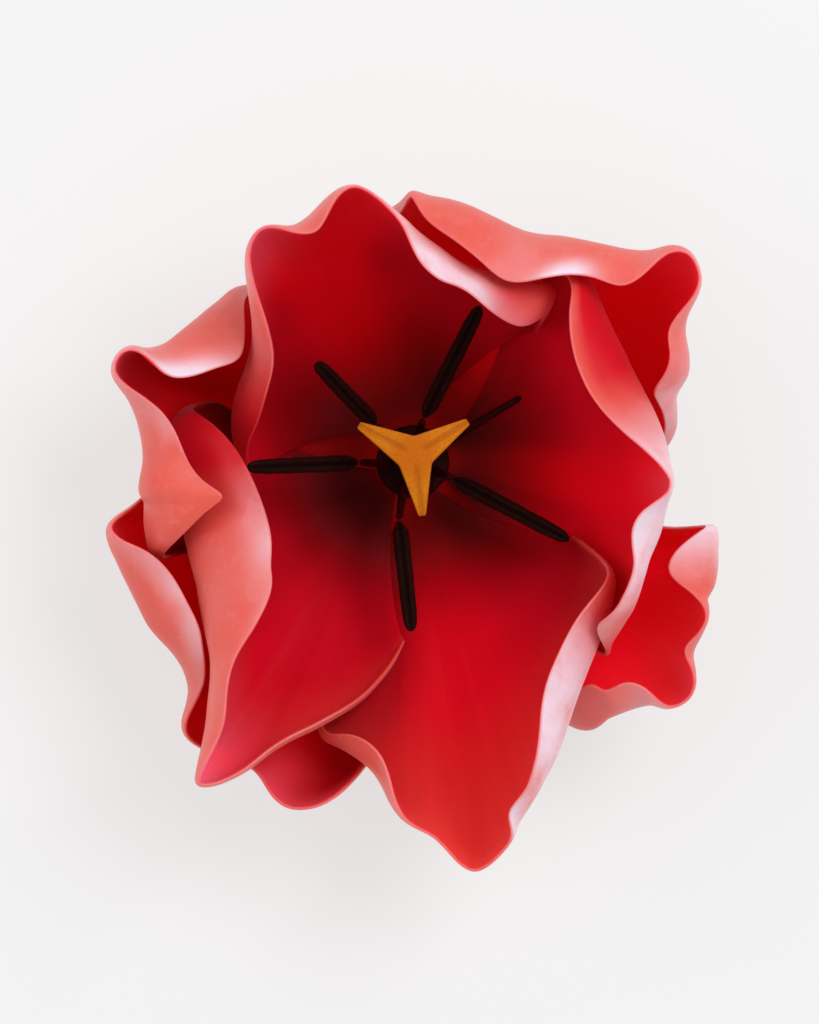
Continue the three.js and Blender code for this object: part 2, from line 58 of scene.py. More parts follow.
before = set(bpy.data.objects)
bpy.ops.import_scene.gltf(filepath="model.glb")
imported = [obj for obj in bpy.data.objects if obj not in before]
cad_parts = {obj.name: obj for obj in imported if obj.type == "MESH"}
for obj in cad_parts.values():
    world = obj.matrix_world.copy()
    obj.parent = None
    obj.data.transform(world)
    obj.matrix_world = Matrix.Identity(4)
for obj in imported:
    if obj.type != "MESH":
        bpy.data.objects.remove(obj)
CAD_BOX = [list(corner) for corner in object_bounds()]
STEM_LOW, STEM_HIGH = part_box("stem_end")
AXIS = np.array([(STEM_LOW.x + STEM_HIGH.x) / 2, (STEM_LOW.y + STEM_HIGH.y) / 2, 0.0])

MM = 0.001

# ---- the petals, in millimetres about the flower's own axis ----------------------------------------
# azimuth, spread: direction and half width of the root, in degrees.
# plies: how many petals lie inside this one, at its first and at its last side.
# sag: how much lower its shoulder hangs, at its first and at its last side.
# fullness: share of the way out, and of the way up, from the cup to the crest that the flank reaches.
# glow, lit_inside: how much of the tip's colour, and of a brighter red painted as light where light reaches
# into the cup, the inner face shows, 0 to 1.
# rim_blush_shade: how much of the blush of painted shade is left on the very rim, 0 to 1.
# rose_highlight, dusk_shade: patches of painted highlight and of painted shade on the inner face.
# pearl_and_highlight: pale patches of the outer face, partly its own pearly bloom and partly painted
# highlight. blush_shade: crimson patches of the outer face, painted shade with its red bounce light.
# wine_shade: dark stretches of painted shade along the sides, on both faces. Each patch is its middle and
# its width, as shares of the way across, and its strength. Where it keeps to the rim, its reach in from
# there follows, in millimetres.
# rim: stations anticlockwise from one side round the tip to the other. Each is x, y, z of the rim, then
# how far the crest of the rolled margin stands outside the rim, and how far below it.

PETALS = {
    "top": dict(
        azimuth=108, spread=30, plies=(0, 0), sag=(0, 0), fullness=(0.75, 0.45),
        glow=0.12, lit_inside=0.0, rim_blush_shade=1,
        rose_highlight=((0.72, 0.07, 0.6),),
        dusk_shade=((0.9, 0.1, 0.5), (0.3, 0.2, 0.15)),
        wine_shade=((0.0, 0.03, 0.8),),
        pearl_and_highlight=((0.25, 0.1, 1.6, 3.5), (0.26, 0.07, 0.5), (0.42, 0.08, 0.35), (0.8, 0.08, 0.2)),
        blush_shade=((0.0, 0.1, 1.0), (0.15, 0.035, 0.5), (0.96, 0.11, 1.0)),
        rim=[
            (18.6, 19.6, 21, 0.5, 6), (20.2, 21.6, 31, 1, 6), (19.5, 22.2, 37, 3, 5),
            (16.8, 19.2, 43, 6, 5), (12, 21.6, 46, 4.8, 5), (7.8, 26, 49, 2, 6), (4, 26.4, 52, 3.2, 5),
            (0.3, 29.6, 54, 2.9, 6), (-1, 34.8, 56, 1, 7), (-4.5, 38.5, 57, 0, 6), (-9, 42, 57, 0, 6),
            (-12, 38.2, 57, 1.8, 6), (-14, 32.8, 57, 3.2, 6), (-18.5, 34.2, 55, 0.6, 7),
            (-22.5, 35.2, 54, 0, 7), (-25.3, 31, 53, 0.6, 7), (-22.6, 22.5, 50, 1.6, 8),
            (-20.4, 15.8, 45, 2.6, 7), (-21.9, 10.5, 40, 2.9, 7), (-23.4, 5, 34, 3, 6),
            (-26.3, 1, 26, 0.5, 6), (-24.3, -4.5, 17, 0.3, 5),
        ],
    ),
    "lower_left_inner": dict(
        azimuth=218, spread=26, plies=(0.92, 0), sag=(0, 0), fullness=(0.75, 0.45),
        glow=0.55, lit_inside=0.1, rim_blush_shade=1,
        rose_highlight=((0.64, 0.08, 1.0), (0.45, 0.16, 0.4)),
        dusk_shade=((0.12, 0.16, 0.5), (0.38, 0.12, 0.3)),
        wine_shade=((0.0, 0.035, 1.0),),
        pearl_and_highlight=((0.2, 0.09, 0.6, 3.5), (0.38, 0.05, 0.2, 2)),
        blush_shade=((0.05, 0.1, 1.8),),
        rim=[
            (-30.4, 9, 18, -0.3, 4), (-35.2, 8.4, 28, 0.2, 5), (-31.5, 6.8, 34, 4, 5),
            (-26.5, 2.2, 39, 8, 6), (-23, -5, 43, 8.5, 6), (-20.8, -11.5, 46, 9, 7),
            (-21.5, -15.8, 47, 8, 7), (-20.6, -19, 48, 8.5, 8), (-23.5, -25, 48, 6, 7),
            (-26.8, -29.5, 48, 3, 7), (-28.2, -34.5, 47, 2.6, 8), (-27.8, -39.5, 46, 3.5, 7),
            (-31.2, -45.8, 44, 2, 6), (-33.2, -49.6, 43, 0.5, 6), (-26, -47.8, 41, 0.6, 6),
            (-21, -42.6, 38, 0.8, 6), (-15, -40, 35, 0.8, 6), (-9.5, -37.4, 31, 0.6, 6),
            (-5.5, -34, 25, 0.3, 5), (-2.8, -30.4, 20, 0.2, 4), (-1.4, -27.6, 14.2, 0, 0.8),
        ],
    ),
    "bottom": dict(
        azimuth=284, spread=26, plies=(1, 0), sag=(0, 0), fullness=(0.55, 0.42),
        glow=0.95, lit_inside=0.0, rim_blush_shade=0.3,
        rose_highlight=(),
        dusk_shade=((0.1, 0.22, 0.65), (0.5, 0.25, 0.15), (0.95, 0.12, 0.5)),
        wine_shade=((1.0, 0.03, 0.5),),
        pearl_and_highlight=((0.15, 0.08, 0.2), (0.58, 0.05, 1.0), (0.73, 0.14, 1.5)),
        blush_shade=((0.98, 0.1, 1.0), (0.02, 0.05, 0.3)),
        rim=[
            (-14, -33.5, 16, 0.5, 2), (-15.2, -42.5, 22.5, 0.5, 4), (-10.6, -40.8, 30, 3.2, 6),
            (-5.7, -42.8, 35, 3.6, 7), (-3.4, -47.5, 36, 2.8, 7), (-2.5, -52.5, 37, 1.4, 7),
            (0, -55.6, 37, 0.4, 7), (3.6, -56.6, 37, 0, 7), (6, -60, 36, 0, 7), (9.4, -63.3, 36, 0, 7),
            (12.8, -60, 37, 0, 7), (15.8, -56.8, 39, 0.3, 7), (13.4, -53, 41, 4, 7),
            (17.2, -50, 43, 2.4, 8), (18.4, -45.5, 45, 3.3, 9), (19.2, -40, 46, 4.8, 9),
            (19.3, -34.5, 46, 5.6, 9), (22, -28.5, 45, 5, 9), (25, -23, 43, 4.4, 8),
            (30, -17.8, 40, 1.5, 7), (29.8, -15.4, 30, 0.3, 5), (24.6, -11.6, 19, 0, 4),
        ],
    ),
    "right": dict(
        azimuth=0, spread=30, plies=(1, 1), sag=(0, 0), fullness=(0.75, 0.45),
        glow=0.25, lit_inside=0.45, rim_blush_shade=0.35,
        rose_highlight=((0.52, 0.05, 0.25),),
        dusk_shade=(),
        wine_shade=((0.0, 0.035, 0.9),),
        pearl_and_highlight=(
            (0.1, 0.06, 0.15), (0.38, 0.13, 1.4), (0.58, 0.06, 0.7), (0.66, 0.03, 0.1),
            (0.3, 0.2, 0.35, 2.0),
        ),
        blush_shade=((0.86, 0.13, 2.2), (0.0, 0.06, 0.8)),
        rim=[
            (22.2, -24.2, 15.5, -1, 1.6), (29, -29.8, 26, 0.1, 5), (30, -29.4, 35, 0.4, 5),
            (26.6, -24.8, 43.5, 3.6, 6), (29.8, -23.6, 46, 2.2, 7), (31.4, -20.5, 48, 2.2, 7),
            (33.8, -15.5, 49, 1.5, 7), (32, -10.5, 50, 4, 7), (34.5, -7, 51, 3, 7), (39, -5, 51, 0, 7),
            (38.2, -1.5, 51, 1, 7), (33.5, 2.2, 51, 3.6, 7), (29, 6.2, 51, 5.2, 7),
            (25.2, 11.5, 50, 5.6, 7), (23.6, 17, 49, 5, 7), (23.2, 22.5, 48, 4, 7),
            (24.4, 26.8, 44, 2.5, 6), (22.2, 29.6, 35, 0.5, 5), (16.8, 27.9, 22, -1.2, 4),
        ],
    ),
    "upper_right": dict(
        azimuth=48, spread=28, plies=(2, 2), sag=(1, 1), fullness=(0.75, 0.45),
        glow=0.2, lit_inside=1.0, rim_blush_shade=0.3,
        rose_highlight=((0.42, 0.06, 0.4),),
        dusk_shade=(),
        wine_shade=(),
        pearl_and_highlight=((0.08, 0.12, 0.45), (0.62, 0.04, 1.2, 2.5), (0.7, 0.05, 0.12), (0.35, 0.04, 0.5, 2.5)),
        blush_shade=((0.0, 0.05, 0.3),),
        rim=[
            (34.5, -1, 15, 0.5, 3), (38.6, 2.5, 25, 1.4, 5), (38.4, 7.5, 33, 1.8, 5),
            (35.6, 10, 39, 3.4, 5), (37.6, 12, 41, 3.6, 6), (39, 15.5, 43, 2.6, 6),
            (37.8, 19.5, 44, 2.8, 6), (41, 23, 45, 1, 6), (43.8, 26.5, 45, 0.3, 6),
            (42, 31.5, 45, 0.5, 6), (38, 31.5, 45, 1.5, 6), (34, 27.2, 46, 4.2, 5),
            (31, 25.6, 46, 5.2, 5), (27.5, 27.4, 46, 4.2, 5), (23, 28, 46, 4.6, 5),
            (18, 26.8, 46, 5.8, 5), (13.6, 26.2, 46, 6.2, 5), (9.8, 30.4, 46, 5, 5),
            (4.6, 33.9, 46, 4.4, 5), (1.4, 36.2, 46, 3.2, 5), (-0.4, 41.2, 44, 0.5, 5),
            (-1.2, 36.8, 37, 2, 6), (-4.5, 35.5, 26, 2, 6), (-7, 32, 17, 2, 6),
        ],
    ),
    "upper_left": dict(
        azimuth=166, spread=26, plies=(2, 1.87), sag=(1, 0), fullness=(0.75, 0.42),
        glow=0.2, lit_inside=0.2, rim_blush_shade=0.3,
        rose_highlight=((0.42, 0.07, 0.7),),
        dusk_shade=((0.3, 0.25, 0.9),),
        wine_shade=((1.0, 0.02, 0.5),),
        pearl_and_highlight=((0.24, 0.09, 1.2, 3), (0.27, 0.05, 0.25), (0.42, 0.06, 0.3), (0.62, 0.1, 0.35, 4)),
        blush_shade=((0.0, 0.05, 0.3), (1.0, 0.06, 0.5)),
        rim=[
            (-21, 26, 15, 1, 4), (-26, 26.6, 27, 1.2, 5), (-25.4, 22, 36, 3.4, 5),
            (-25.1, 15, 39, 7.2, 5), (-29, 14.2, 40, 6, 5), (-33.5, 12.2, 41, 5, 4),
            (-37, 12.4, 42, 5.2, 4), (-40, 16, 41, 1.9, 5), (-43.4, 17.2, 41, 0.5, 5),
            (-46, 13.8, 41, 0.6, 5), (-42.8, 10.6, 41, 1.4, 5), (-38.4, 8.4, 42, 3.2, 5),
            (-35.5, 4.6, 43, 4.2, 5), (-34.4, 0.5, 43, 5, 5), (-31.5, -3.6, 45, 7.5, 5),
            (-27.2, -5.4, 46, 9, 5), (-31, -7.4, 44, 7, 5), (-34.8, -11.6, 40.5, 4.6, 5),
            (-38.4, -14.4, 34, 1.6, 5), (-37.8, -15, 26, 0.5, 5), (-30.6, -12.4, 17, 0, 2.5),
        ],
    ),
    "lower_left_outer": dict(
        azimuth=226, spread=28, plies=(3, 2), sag=(0, 0.6), fullness=(0.72, 0.42),
        glow=0.5, lit_inside=0.0, rim_blush_shade=0.3,
        rose_highlight=((0.15, 0.06, 0.4), (0.75, 0.12, 0.4)),
        dusk_shade=((0.92, 0.15, 1.2),),
        wine_shade=(),
        pearl_and_highlight=((0.3, 0.15, 0.5, 3),),
        blush_shade=((0.0, 0.06, 0.5), (1.0, 0.1, 0.4)),
        rim=[
            (-37, -1, 13, -1.2, 1.4), (-41.5, -5.8, 23, 0.5, 4), (-42.8, -7.6, 31, 0.5, 5),
            (-47, -9.8, 34, 0.6, 5), (-44, -12.4, 35, 2.6, 5), (-39.8, -13.6, 36, 4.8, 5),
            (-36.4, -17, 36, 5.8, 5), (-34, -21.5, 37, 6, 5), (-31.9, -25.4, 37, 5, 5),
            (-31.7, -28.9, 37, 3.7, 5), (-31.1, -33.5, 36, 2.8, 5), (-33.2, -37, 34, 1.8, 5),
            (-35.4, -41.5, 31, 0.6, 5), (-31.5, -44, 28, 0.5, 4), (-27.5, -45.5, 26, 0.5, 4),
            (-23.5, -46.6, 27, 0.5, 4), (-21.8, -50.4, 30, 0.3, 5), (-19, -53.4, 31, 0.3, 5),
            (-13.5, -52.4, 31, 0.3, 5), (-9.8, -49.5, 28, 0.3, 5), (-6.8, -45.5, 22.5, 0.5, 5),
            (-2.6, -40, 15.5, 0, 2.4), (0.4, -32.5, 10.5, -0.5, 0.2),
        ],
    ),
    "lower_right": dict(
        azimuth=322, spread=26, plies=(2, 2), sag=(1, 1), fullness=(0.7, 0.42),
        glow=0.45, lit_inside=1.0, rim_blush_shade=0.3,
        rose_highlight=((0.45, 0.06, 0.3),),
        dusk_shade=(),
        wine_shade=(),
        pearl_and_highlight=((0.3, 0.1, 0.3), (0.88, 0.08, 0.9)),
        blush_shade=((0.0, 0.08, 0.3), (1.0, 0.05, 0.4)),
        rim=[
            (17.2, -34.2, 12.5, 0, 1), (21, -37.2, 21, 1.4, 5), (24, -36.6, 28, 5.4, 5),
            (26.8, -33, 32, 6.2, 5), (29, -35.6, 33, 3.4, 5), (32, -33, 34, 4.6, 5),
            (35.5, -34.4, 34, 3, 5), (38.5, -38.2, 33, 0.3, 5), (42.5, -36, 33, 0.3, 5),
            (43, -31.8, 34, 0.5, 5), (40.2, -28.4, 35, 2.5, 5), (43.8, -26, 36, 0.5, 5),
            (45, -22.8, 37, 0.5, 5), (42, -19.6, 38, 3, 4), (37.5, -17, 39, 7.6, 4),
            (39.8, -12.8, 38, 6, 4), (45.8, -9.4, 37, 2, 4), (42.3, -10.4, 31, 1, 5),
            (37.4, -10.6, 23, 0.2, 5), (31.8, -8.6, 14, 0, 1.6),
        ],
    ),
}

PETAL_THICKNESS = 0.8
PLY = 1.15                  # how far a petal lies below the one inside it, where they overlap
PLY_SPREAD = 0.8            # how much of a ply it also stands further out, at the cup
ROOT_RADIUS = 5.4           # where the petals spring from the stem end
ROOT_HEIGHT = 4.9
CLAW_RADIUS = 10.0          # the narrow foot of a petal
CLAW_DIP = 1.2
SHOULDER_RADIUS = 17.5      # where the foot has widened and starts to rise
SHOULDER_DIP = 2.0
CUP_RADIUS = 26.0           # the cup that all the petals share
CUP_RISE = 7.5
ROLL_PULL = 1.75            # the net stands this much further out than the rolled margin does
ROLL_ASIDE = 0.6            # how far the roll turns from the radius towards the rim's own normal
ROLL_REACH = 3              # stations either way that the rim's own direction is taken over
TURNS = (0.0, 0.25, 0.6, 0.9, 1.0)   # how far each row has turned, from the root to the flank
SIDE_STEP = 2.0             # degrees that the lower rows open by, at least, from station to station
DRAW_BAND = 5.0             # the outermost millimetres that are drawn in, to stay inside the frame's box
DRAW_IN = 0.3
RIM_BAND = (3.5, 0.3)       # millimetres from the edge over which a petal thins out to its rim
EDGE_STEPS = np.array([0.0, 0.0010, 0.0024, 0.0042, 0.0066])   # the rows that round an edge
FOLDS = ((5, 0.09), (8, 0.06), (13, 0.03), (22, 0.015))        # waves across a petal, and their height
FOLD_DRIFT = 3.0            # how far the waves may shift along a petal, in radians
FOLD_ALONG = (0.2, 0.7)     # shares of the way along between which the folds come in
FOLD_BAND = 4.0             # millimetres from the sides over which they come in
CREASE_WIDTH = 0.02         # the shallow crease down a petal's middle
CREASE_DEPTH = 0.07
CREASE_ALONG = (0.05, 0.3)  # shares of the way along between which it comes in
CREASE_END = (0.6, 0.9)     # and fades out again
PATCH_ALONG = {             # shares of the way along between which each kind of patch comes in
    "rose_highlight": (0.66, 0.98),
    "dusk_shade": (1.02, 0.86),
    "wine_shade": (0.35, 0.6),
    "pearl_and_highlight": (0.58, 0.9),
    "blush_shade": (0.35, 0.7),
}
GLOW_ALONG = (0.62, 1.0)
BLUSH_SHADE_BAND = (3.0, 0.8)     # millimetres from the rim over which the painted shade blush thins out to its rim share
HIGH_RIM = (22, 37)         # heights between which the rim's painted highlight line comes in

# ---- the stamens and the stigma, in the same millimetres -------------------------------------------
# azimuth of the foot, where the filament ends, and the far end of the anther (None where it is shed).

STAMENS = {
    "upper_left": (136, (-5.4, 5.3, 17.0), (-14.7, 14.9, 29.0)),
    "top": (76, (1.5, 6.2, 16.0), (10.3, 23.6, 25.0)),
    "right": (30, (16.6, 9.8, 18.5), None),
    "lower_right": (336, (5.7, -2.4, 15.5), (23.9, -12.1, 22.0)),
    "bottom": (248, (-2.1, -8.7, 16.0), (-0.2, -26.0, 25.0)),
    "left": (184, (-7.9, -0.2, 16.0), (-25.2, -1.0, 28.5)),
}
RECEPTACLE_TOP = 7.0
SEAT_GAP = 0.3
FILAMENT_GRID = (73, 24)    # rings along a body, and points round each
ANTHER_GRID = (91, 48)
OVARY_GRID = (60, 96)
STEM_GRID = (90, 96)
STIGMA_RINGS = (22, 30)     # under the star and over it
STIGMA_SPLITS = 28          # points on a long edge of its outline
FILAMENT_RING = 3.75        # how far from the axis the filaments stand
FILAMENT_FOOT = 0.85        # radii
FILAMENT_TIP = 0.5
ANTHER_WIDTH = 2.8
ANTHER_DEPTH = 2.1
ANTHER_BOW = 0.8            # how far an anther's middle is lifted
STIGMA_ARMS = ((32, 9.6), (152, 9.7), (277, 9.4))   # direction and length of each arm
STIGMA_CENTRE = (0.3, 0.9)
STIGMA_TOP = 29.3
STIGMA_WAIST = 2.9          # from the middle to the corner between two arms
STIGMA_END = 1.1            # width of an arm's end
STIGMA_DROOP = 0.017        # drop for each square millimetre of the radius
STIGMA_DEPTH = 3.0
STIGMA_THIN = 14.0          # radius at which the star would have no thickness left
CREASE_DIP = 0.28           # how deep the crease of an arm is
NAP_HEIGHT = 0.05           # of the surface's roughness
NAP_LIMIT = 0.04            # the highest that it may stand, and how far the surface is let down for it
OVARY_TOP = 26.0
OVARY_RADIUS = 2.15
OVARY_SWELL = 0.45
OVARY_CORNER = 0.1          # share of the radius that the corners stand out by
OVARY_FURROW = 0.035        # share of it that the furrows take away again

# ---- the stem end: radius and height of each corner of its outline, in the same millimetres ---------

STEM_PROFILE = (
    (0.05, 0), (3.55, 0), (3.65, 0.8), (4.55, 1.6), (4.85, 2.5), (4.85, 5.45), (5.7, 6.1), (5.7, 6.6),
    (5.3, 6.95), (0.05, 7),
)
STEM_RIBS = 12
RIB_DEPTH = 0.008

# ---- the stage, in metres --------------------------------------------------------------------------

KEY_PLACE, KEY_SIZE, KEY_TINT = (0.45, 0.35, 0.9), 0.5, (0.97, 0.98, 1.0)
FILL_PLACE, FILL_SIZE, FILL_TINT = (-0.7, 0.1, 0.6), 0.7, (1.0, 0.95, 0.9)
LAMP_TARGET = (0, 0, 0.03)
FLOOR_SHADE = 0.99          # the darker clouds of the floor, as a share of its colour
SENSOR_WIDTH = 36.0         # millimetres
CLIP_START, CLIP_END = 0.01, 20.0


# ---- surfaces --------------------------------------------------------------------------------------

def smooth_step(low, high, value):
    """0 on the side of low, 1 on the side of high, and 3t^2 - 2t^3 of the share t of the way between."""
    t = np.clip((value - low) / (high - low), 0, 1)
    return t * t * (3 - 2 * t)


def unit(vectors):
    """Each vector divided by its length."""
    return vectors / np.maximum(np.linalg.norm(vectors, axis=-1, keepdims=True), 1e-12)


def spline_weights(count, places):
    """Weight of each of count control points at each place from 0 to 1, for a clamped even cubic
    B-spline, by the Cox-de Boor recursion over the knot spans."""
    knots = np.concatenate([np.zeros(3), np.linspace(0, 1, count - 2), np.ones(3)])
    t = np.clip(places, 0, 1 - 1e-12)[:, None]
    weights = ((knots[:-1] <= t) & (t < knots[1:])).astype(float)
    for degree in (1, 2, 3):
        low, high = knots[:-degree - 1], knots[degree + 1:]
        rise = np.maximum(knots[degree:-1] - low, 1e-12)
        fall = np.maximum(high - knots[1:-degree], 1e-12)
        weights = (t - low) / rise * weights[:, :-1] + (high - t) / fall * weights[:, 1:]
    return weights


def opened_angles(angles):
    """Directions of the lower rows: the crest's own, but from either side inwards each at least one
    side step further round than the one before it."""
    step = math.radians(SIDE_STEP) * np.arange(len(angles))
    up = np.maximum.accumulate(angles - step) + step
    down = np.minimum.accumulate((angles - step)[::-1])[::-1] + step
    return np.where(np.arange(len(angles)) <= (len(angles) - 1) / 2, up, down)


def rolled_crest(rim):
    """The crest under each rim station: outwards by the roll, along the radius turned towards the rim's
    own normal, and down by the last number of the station."""
    places, last = np.arange(len(rim)), len(rim) - 1
    run = rim[np.minimum(places + ROLL_REACH, last)] - rim[np.maximum(places - ROLL_REACH, 0)]
    away = unit(unit(rim[:, :2]) + ROLL_ASIDE * unit(np.stack([run[:, 1], -run[:, 0]], 1)))
    return np.column_stack([rim[:, :2] + away * ROLL_PULL * rim[:, 3:4], rim[:, 2] - rim[:, 4]])


def petal_net(petal):
    """Control points in seven rows, root, claw, shoulder, cup, flank, crest and rim, with a column for
    each station. The lower rows lie on rings round the axis, each turned further from the root's
    direction to the crest's, and the crest stands outside the rim by the roll."""
    rim = np.array(petal["rim"], float)
    share = np.linspace(0, 1, len(rim))
    ply = PLY * np.interp(share, (0, 1), petal["plies"])
    sag = np.interp(share, (0, 1), petal["sag"])
    crest = rolled_crest(rim)
    radius = np.hypot(crest[:, 0], crest[:, 1])
    angle = np.unwrap(np.arctan2(crest[:, 1], crest[:, 0]))
    middle = math.radians(petal["azimuth"])
    middle += 2 * math.pi * round((angle.mean() - middle) / (2 * math.pi))
    root_angle = middle + math.radians(petal["spread"]) * (2 * share - 1)
    opened = opened_angles(angle)
    root = ROOT_HEIGHT - ply
    cup_radius, cup = CUP_RADIUS + PLY_SPREAD * ply, root + CUP_RISE
    out, up = petal["fullness"]
    flank_radius, flank = cup_radius + out * (radius - cup_radius), cup + up * (crest[:, 2] - cup)
    rings = (
        (ROOT_RADIUS, root),
        (CLAW_RADIUS, root - CLAW_DIP - sag),
        (SHOULDER_RADIUS + ply / 2, root - SHOULDER_DIP - 2 * sag),
        (cup_radius, cup),
        (flank_radius, flank),
    )
    rows = []
    for turn, (ring, height) in zip(TURNS, rings):
        direction = root_angle + turn * (opened - root_angle)
        rows.append(np.column_stack([ring * np.cos(direction), ring * np.sin(direction), height]))
    return np.stack(rows + [crest, rim[:, :3]])


def edge_rows(count):
    """Places from 0 to 1: evenly spread ones between two close-set bunches that round the edges."""
    inner = np.linspace(EDGE_STEPS[-1], 1 - EDGE_STEPS[-1], count - 2 * len(EDGE_STEPS) + 2)
    return np.concatenate([EDGE_STEPS[:-1], inner, 1 - EDGE_STEPS[-2::-1]])


def distance_in(grid):
    """Length along each grid line, measured from the nearer end of that line, for both directions."""
    found = []
    for axis in (0, 1):
        steps = np.linalg.norm(np.diff(grid, axis=axis), axis=2)
        along = np.concatenate([np.zeros_like(steps.take([0], axis)), np.cumsum(steps, axis)], axis)
        found.append(np.minimum(along, along.take([-1], axis) - along))
    return found


def sheet_normals(grid):
    """Unit normals of a grid of points: across the columns times along the rows."""
    return unit(np.cross(np.gradient(grid, axis=1), np.gradient(grid, axis=0)))


def drawn_in(grid):
    """The grid with its outermost margins drawn in by DRAW_IN times the square of the share of the way
    through the last DRAW_BAND millimetres before the frame's box, so that the round rims stay inside it."""
    low, high = (np.array(corner) / MM - AXIS / MM for corner in CAD_BOX)
    for k in (0, 1):
        over = np.clip((grid[..., k] - high[k] + DRAW_BAND) / DRAW_BAND, 0, None)
        under = np.clip((low[k] + DRAW_BAND - grid[..., k]) / DRAW_BAND, 0, None)
        grid[..., k] += DRAW_IN * (under ** 2 - over ** 2)
    return grid


def petal_folds(across, along, seed):
    """Soft lengthwise folds, in millimetres: cosines across the petal with seeded phases that drift a
    little along it, none at the root, and a shallow crease down the middle."""
    draw = np.random.default_rng(seed)
    lift = np.zeros(np.broadcast(across, along).shape)
    for waves, height in FOLDS:
        phase, drift = draw.uniform(0, 2 * math.pi), draw.uniform(-FOLD_DRIFT, FOLD_DRIFT)
        lift = lift + height * np.cos(2 * math.pi * waves * across + phase + drift * along)
    lift = lift * smooth_step(*FOLD_ALONG, along)
    crease = np.exp(-((across - 0.5) / CREASE_WIDTH) ** 2) * smooth_step(*CREASE_ALONG, along)
    return lift - CREASE_DEPTH * crease * (1 - smooth_step(*CREASE_END, along))


def grid_quads(index):
    """The quads of a grid of point numbers, each with its corners in turn."""
    return np.stack([index[:-1, :-1], index[:-1, 1:], index[1:, 1:], index[1:, :-1]], -1).reshape(-1, 4)


def sheet_mesh(name, front, back):
    """A closed mesh of two grids that share their border, front facing one way and back the other, and
    which points of a grid lie inside the border."""
    rows, columns = front.shape[:2]
    index = np.arange(rows * columns).reshape(rows, columns)
    inside = np.zeros((rows, columns), bool)
    inside[1:-1, 1:-1] = True
    under = index.copy()
    under[inside] = rows * columns + np.arange(inside.sum())
    points = np.concatenate([front.reshape(-1, 3), back[inside]])
    quads = np.concatenate([grid_quads(index), grid_quads(under)[:, ::-1]])
    return mesh_from(name, points, quads), inside


def mesh_from(name, points, quads):
    """A smooth mesh of points in millimetres about the flower's axis, given in quads, or in triangles
    where a quad's last corner repeats its first."""
    points = points * MM + AXIS
    keep = np.ones(quads.shape, bool)
    keep[:, 3] = quads[:, 3] != quads[:, 0]
    sizes = keep.sum(1)
    mesh = bpy.data.meshes.new(name)
    mesh.vertices.add(len(points))
    mesh.vertices.foreach_set("co", points.ravel())
    mesh.loops.add(int(sizes.sum()))
    mesh.loops.foreach_set("vertex_index", quads[keep].astype(np.int32))
    mesh.polygons.add(len(quads))
    starts = np.concatenate([[0], np.cumsum(sizes)[:-1]])
    mesh.polygons.foreach_set("loop_start", starts.astype(np.int32))
    mesh.polygons.foreach_set("loop_total", sizes.astype(np.int32))
    mesh.update(calc_edges=True)
    mesh.validate()
    mesh.polygons.foreach_set("use_smooth", np.ones(len(mesh.polygons), bool))
    return mesh


def ring_quads(rings, sides):
    """Quads between rings of equal counts that follow each other, the first and the last ring closed
    by a fan round an extra point."""
    index = np.arange(rings * sides).reshape(rings, sides)
    beside = np.roll(index, -1, axis=1)
    walls = np.stack([index[:-1], beside[:-1], beside[1:], index[1:]], -1).reshape(-1, 4)
    first, last = rings * sides, rings * sides + 1
    low = np.stack([beside[0], index[0], np.full(sides, first), beside[0]], -1)
    high = np.stack([index[-1], beside[-1], np.full(sides, last), index[-1]], -1)
    return np.concatenate([walls, low, high])


def ring_mesh(name, rings):
    """A closed body through rings of points, shape (rings, sides, 3), with a point in each end."""
    points = np.concatenate([rings.reshape(-1, 3), rings[[0, -1]].mean(1)])
    return mesh_from(name, points, ring_quads(*rings.shape[:2]))


def swept_rings(centres, widths, heights):
    """Rings across a path of centres. Each ring has half widths level and square to the path, given
    as arrays over (rings, sides)."""
    run = centres[-1] - centres[0]
    level = unit(np.array([run[1], -run[0], 0]))
    square = unit(np.cross(level, np.gradient(centres, axis=0)))
    return centres[:, None] + widths[..., None] * level - heights[..., None] * square[:, None]


def bezier(points, t):
    """The Bezier curve of three or four points, by repeated mixing of neighbours."""
    layers = [np.broadcast_to(np.array(p, float), (len(t), 3)) for p in points]
    while len(layers) > 1:
        layers = [a + (b - a) * t[:, None] for a, b in zip(layers, layers[1:])]
    return layers[0]


def roughness_field(points, size, seed):
    """Rough values round 0 over points in millimetres: a sum of sines in seeded directions, with
    wavelengths near size."""
    draw = np.random.default_rng(seed)
    total = np.zeros(points.shape[:-1])
    for _ in range(14):
        direction = draw.normal(size=3)
        direction *= 2 * math.pi / (size * draw.uniform(0.6, 1.6)) / np.linalg.norm(direction)
        total += np.sin(points @ direction + draw.uniform(0, 2 * math.pi))
    return total / math.sqrt(14)


# ---- pieces ----------------------------------------------------------------------------------------

def set_values(mesh, name, values):
    """Keeps one number for each point of the mesh, for its material to read."""
    attribute = mesh.attributes.new(name, "FLOAT", "POINT")
    attribute.data.foreach_set("value", np.ascontiguousarray(values, np.float32))


def place_piece(mesh, node, slot, *materials):
    """Links the mesh as the piece that stands for one CAD node."""
    piece = bpy.data.objects.new(mesh.name, mesh)
    bpy.context.scene.collection.objects.link(piece)
    for material in materials:
        mesh.materials.append(material)
    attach(piece, "root")
    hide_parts(node)


def patches(table, across, depth):
    """Soft patches over the petal: the sum of strength times a bell curve round each middle, with its
    width, both as shares of the way across, and times another over the depth in from the rim, where a
    fourth number gives its reach in millimetres."""
    total = np.zeros(depth.shape)
    for middle, width, strength, *reach in table:
        bell = strength * np.exp(-((across - middle) / width) ** 2)
        total += bell * np.exp(-(depth / reach[0]) ** 2) if reach else bell
    return np.clip(total, 0, 1)


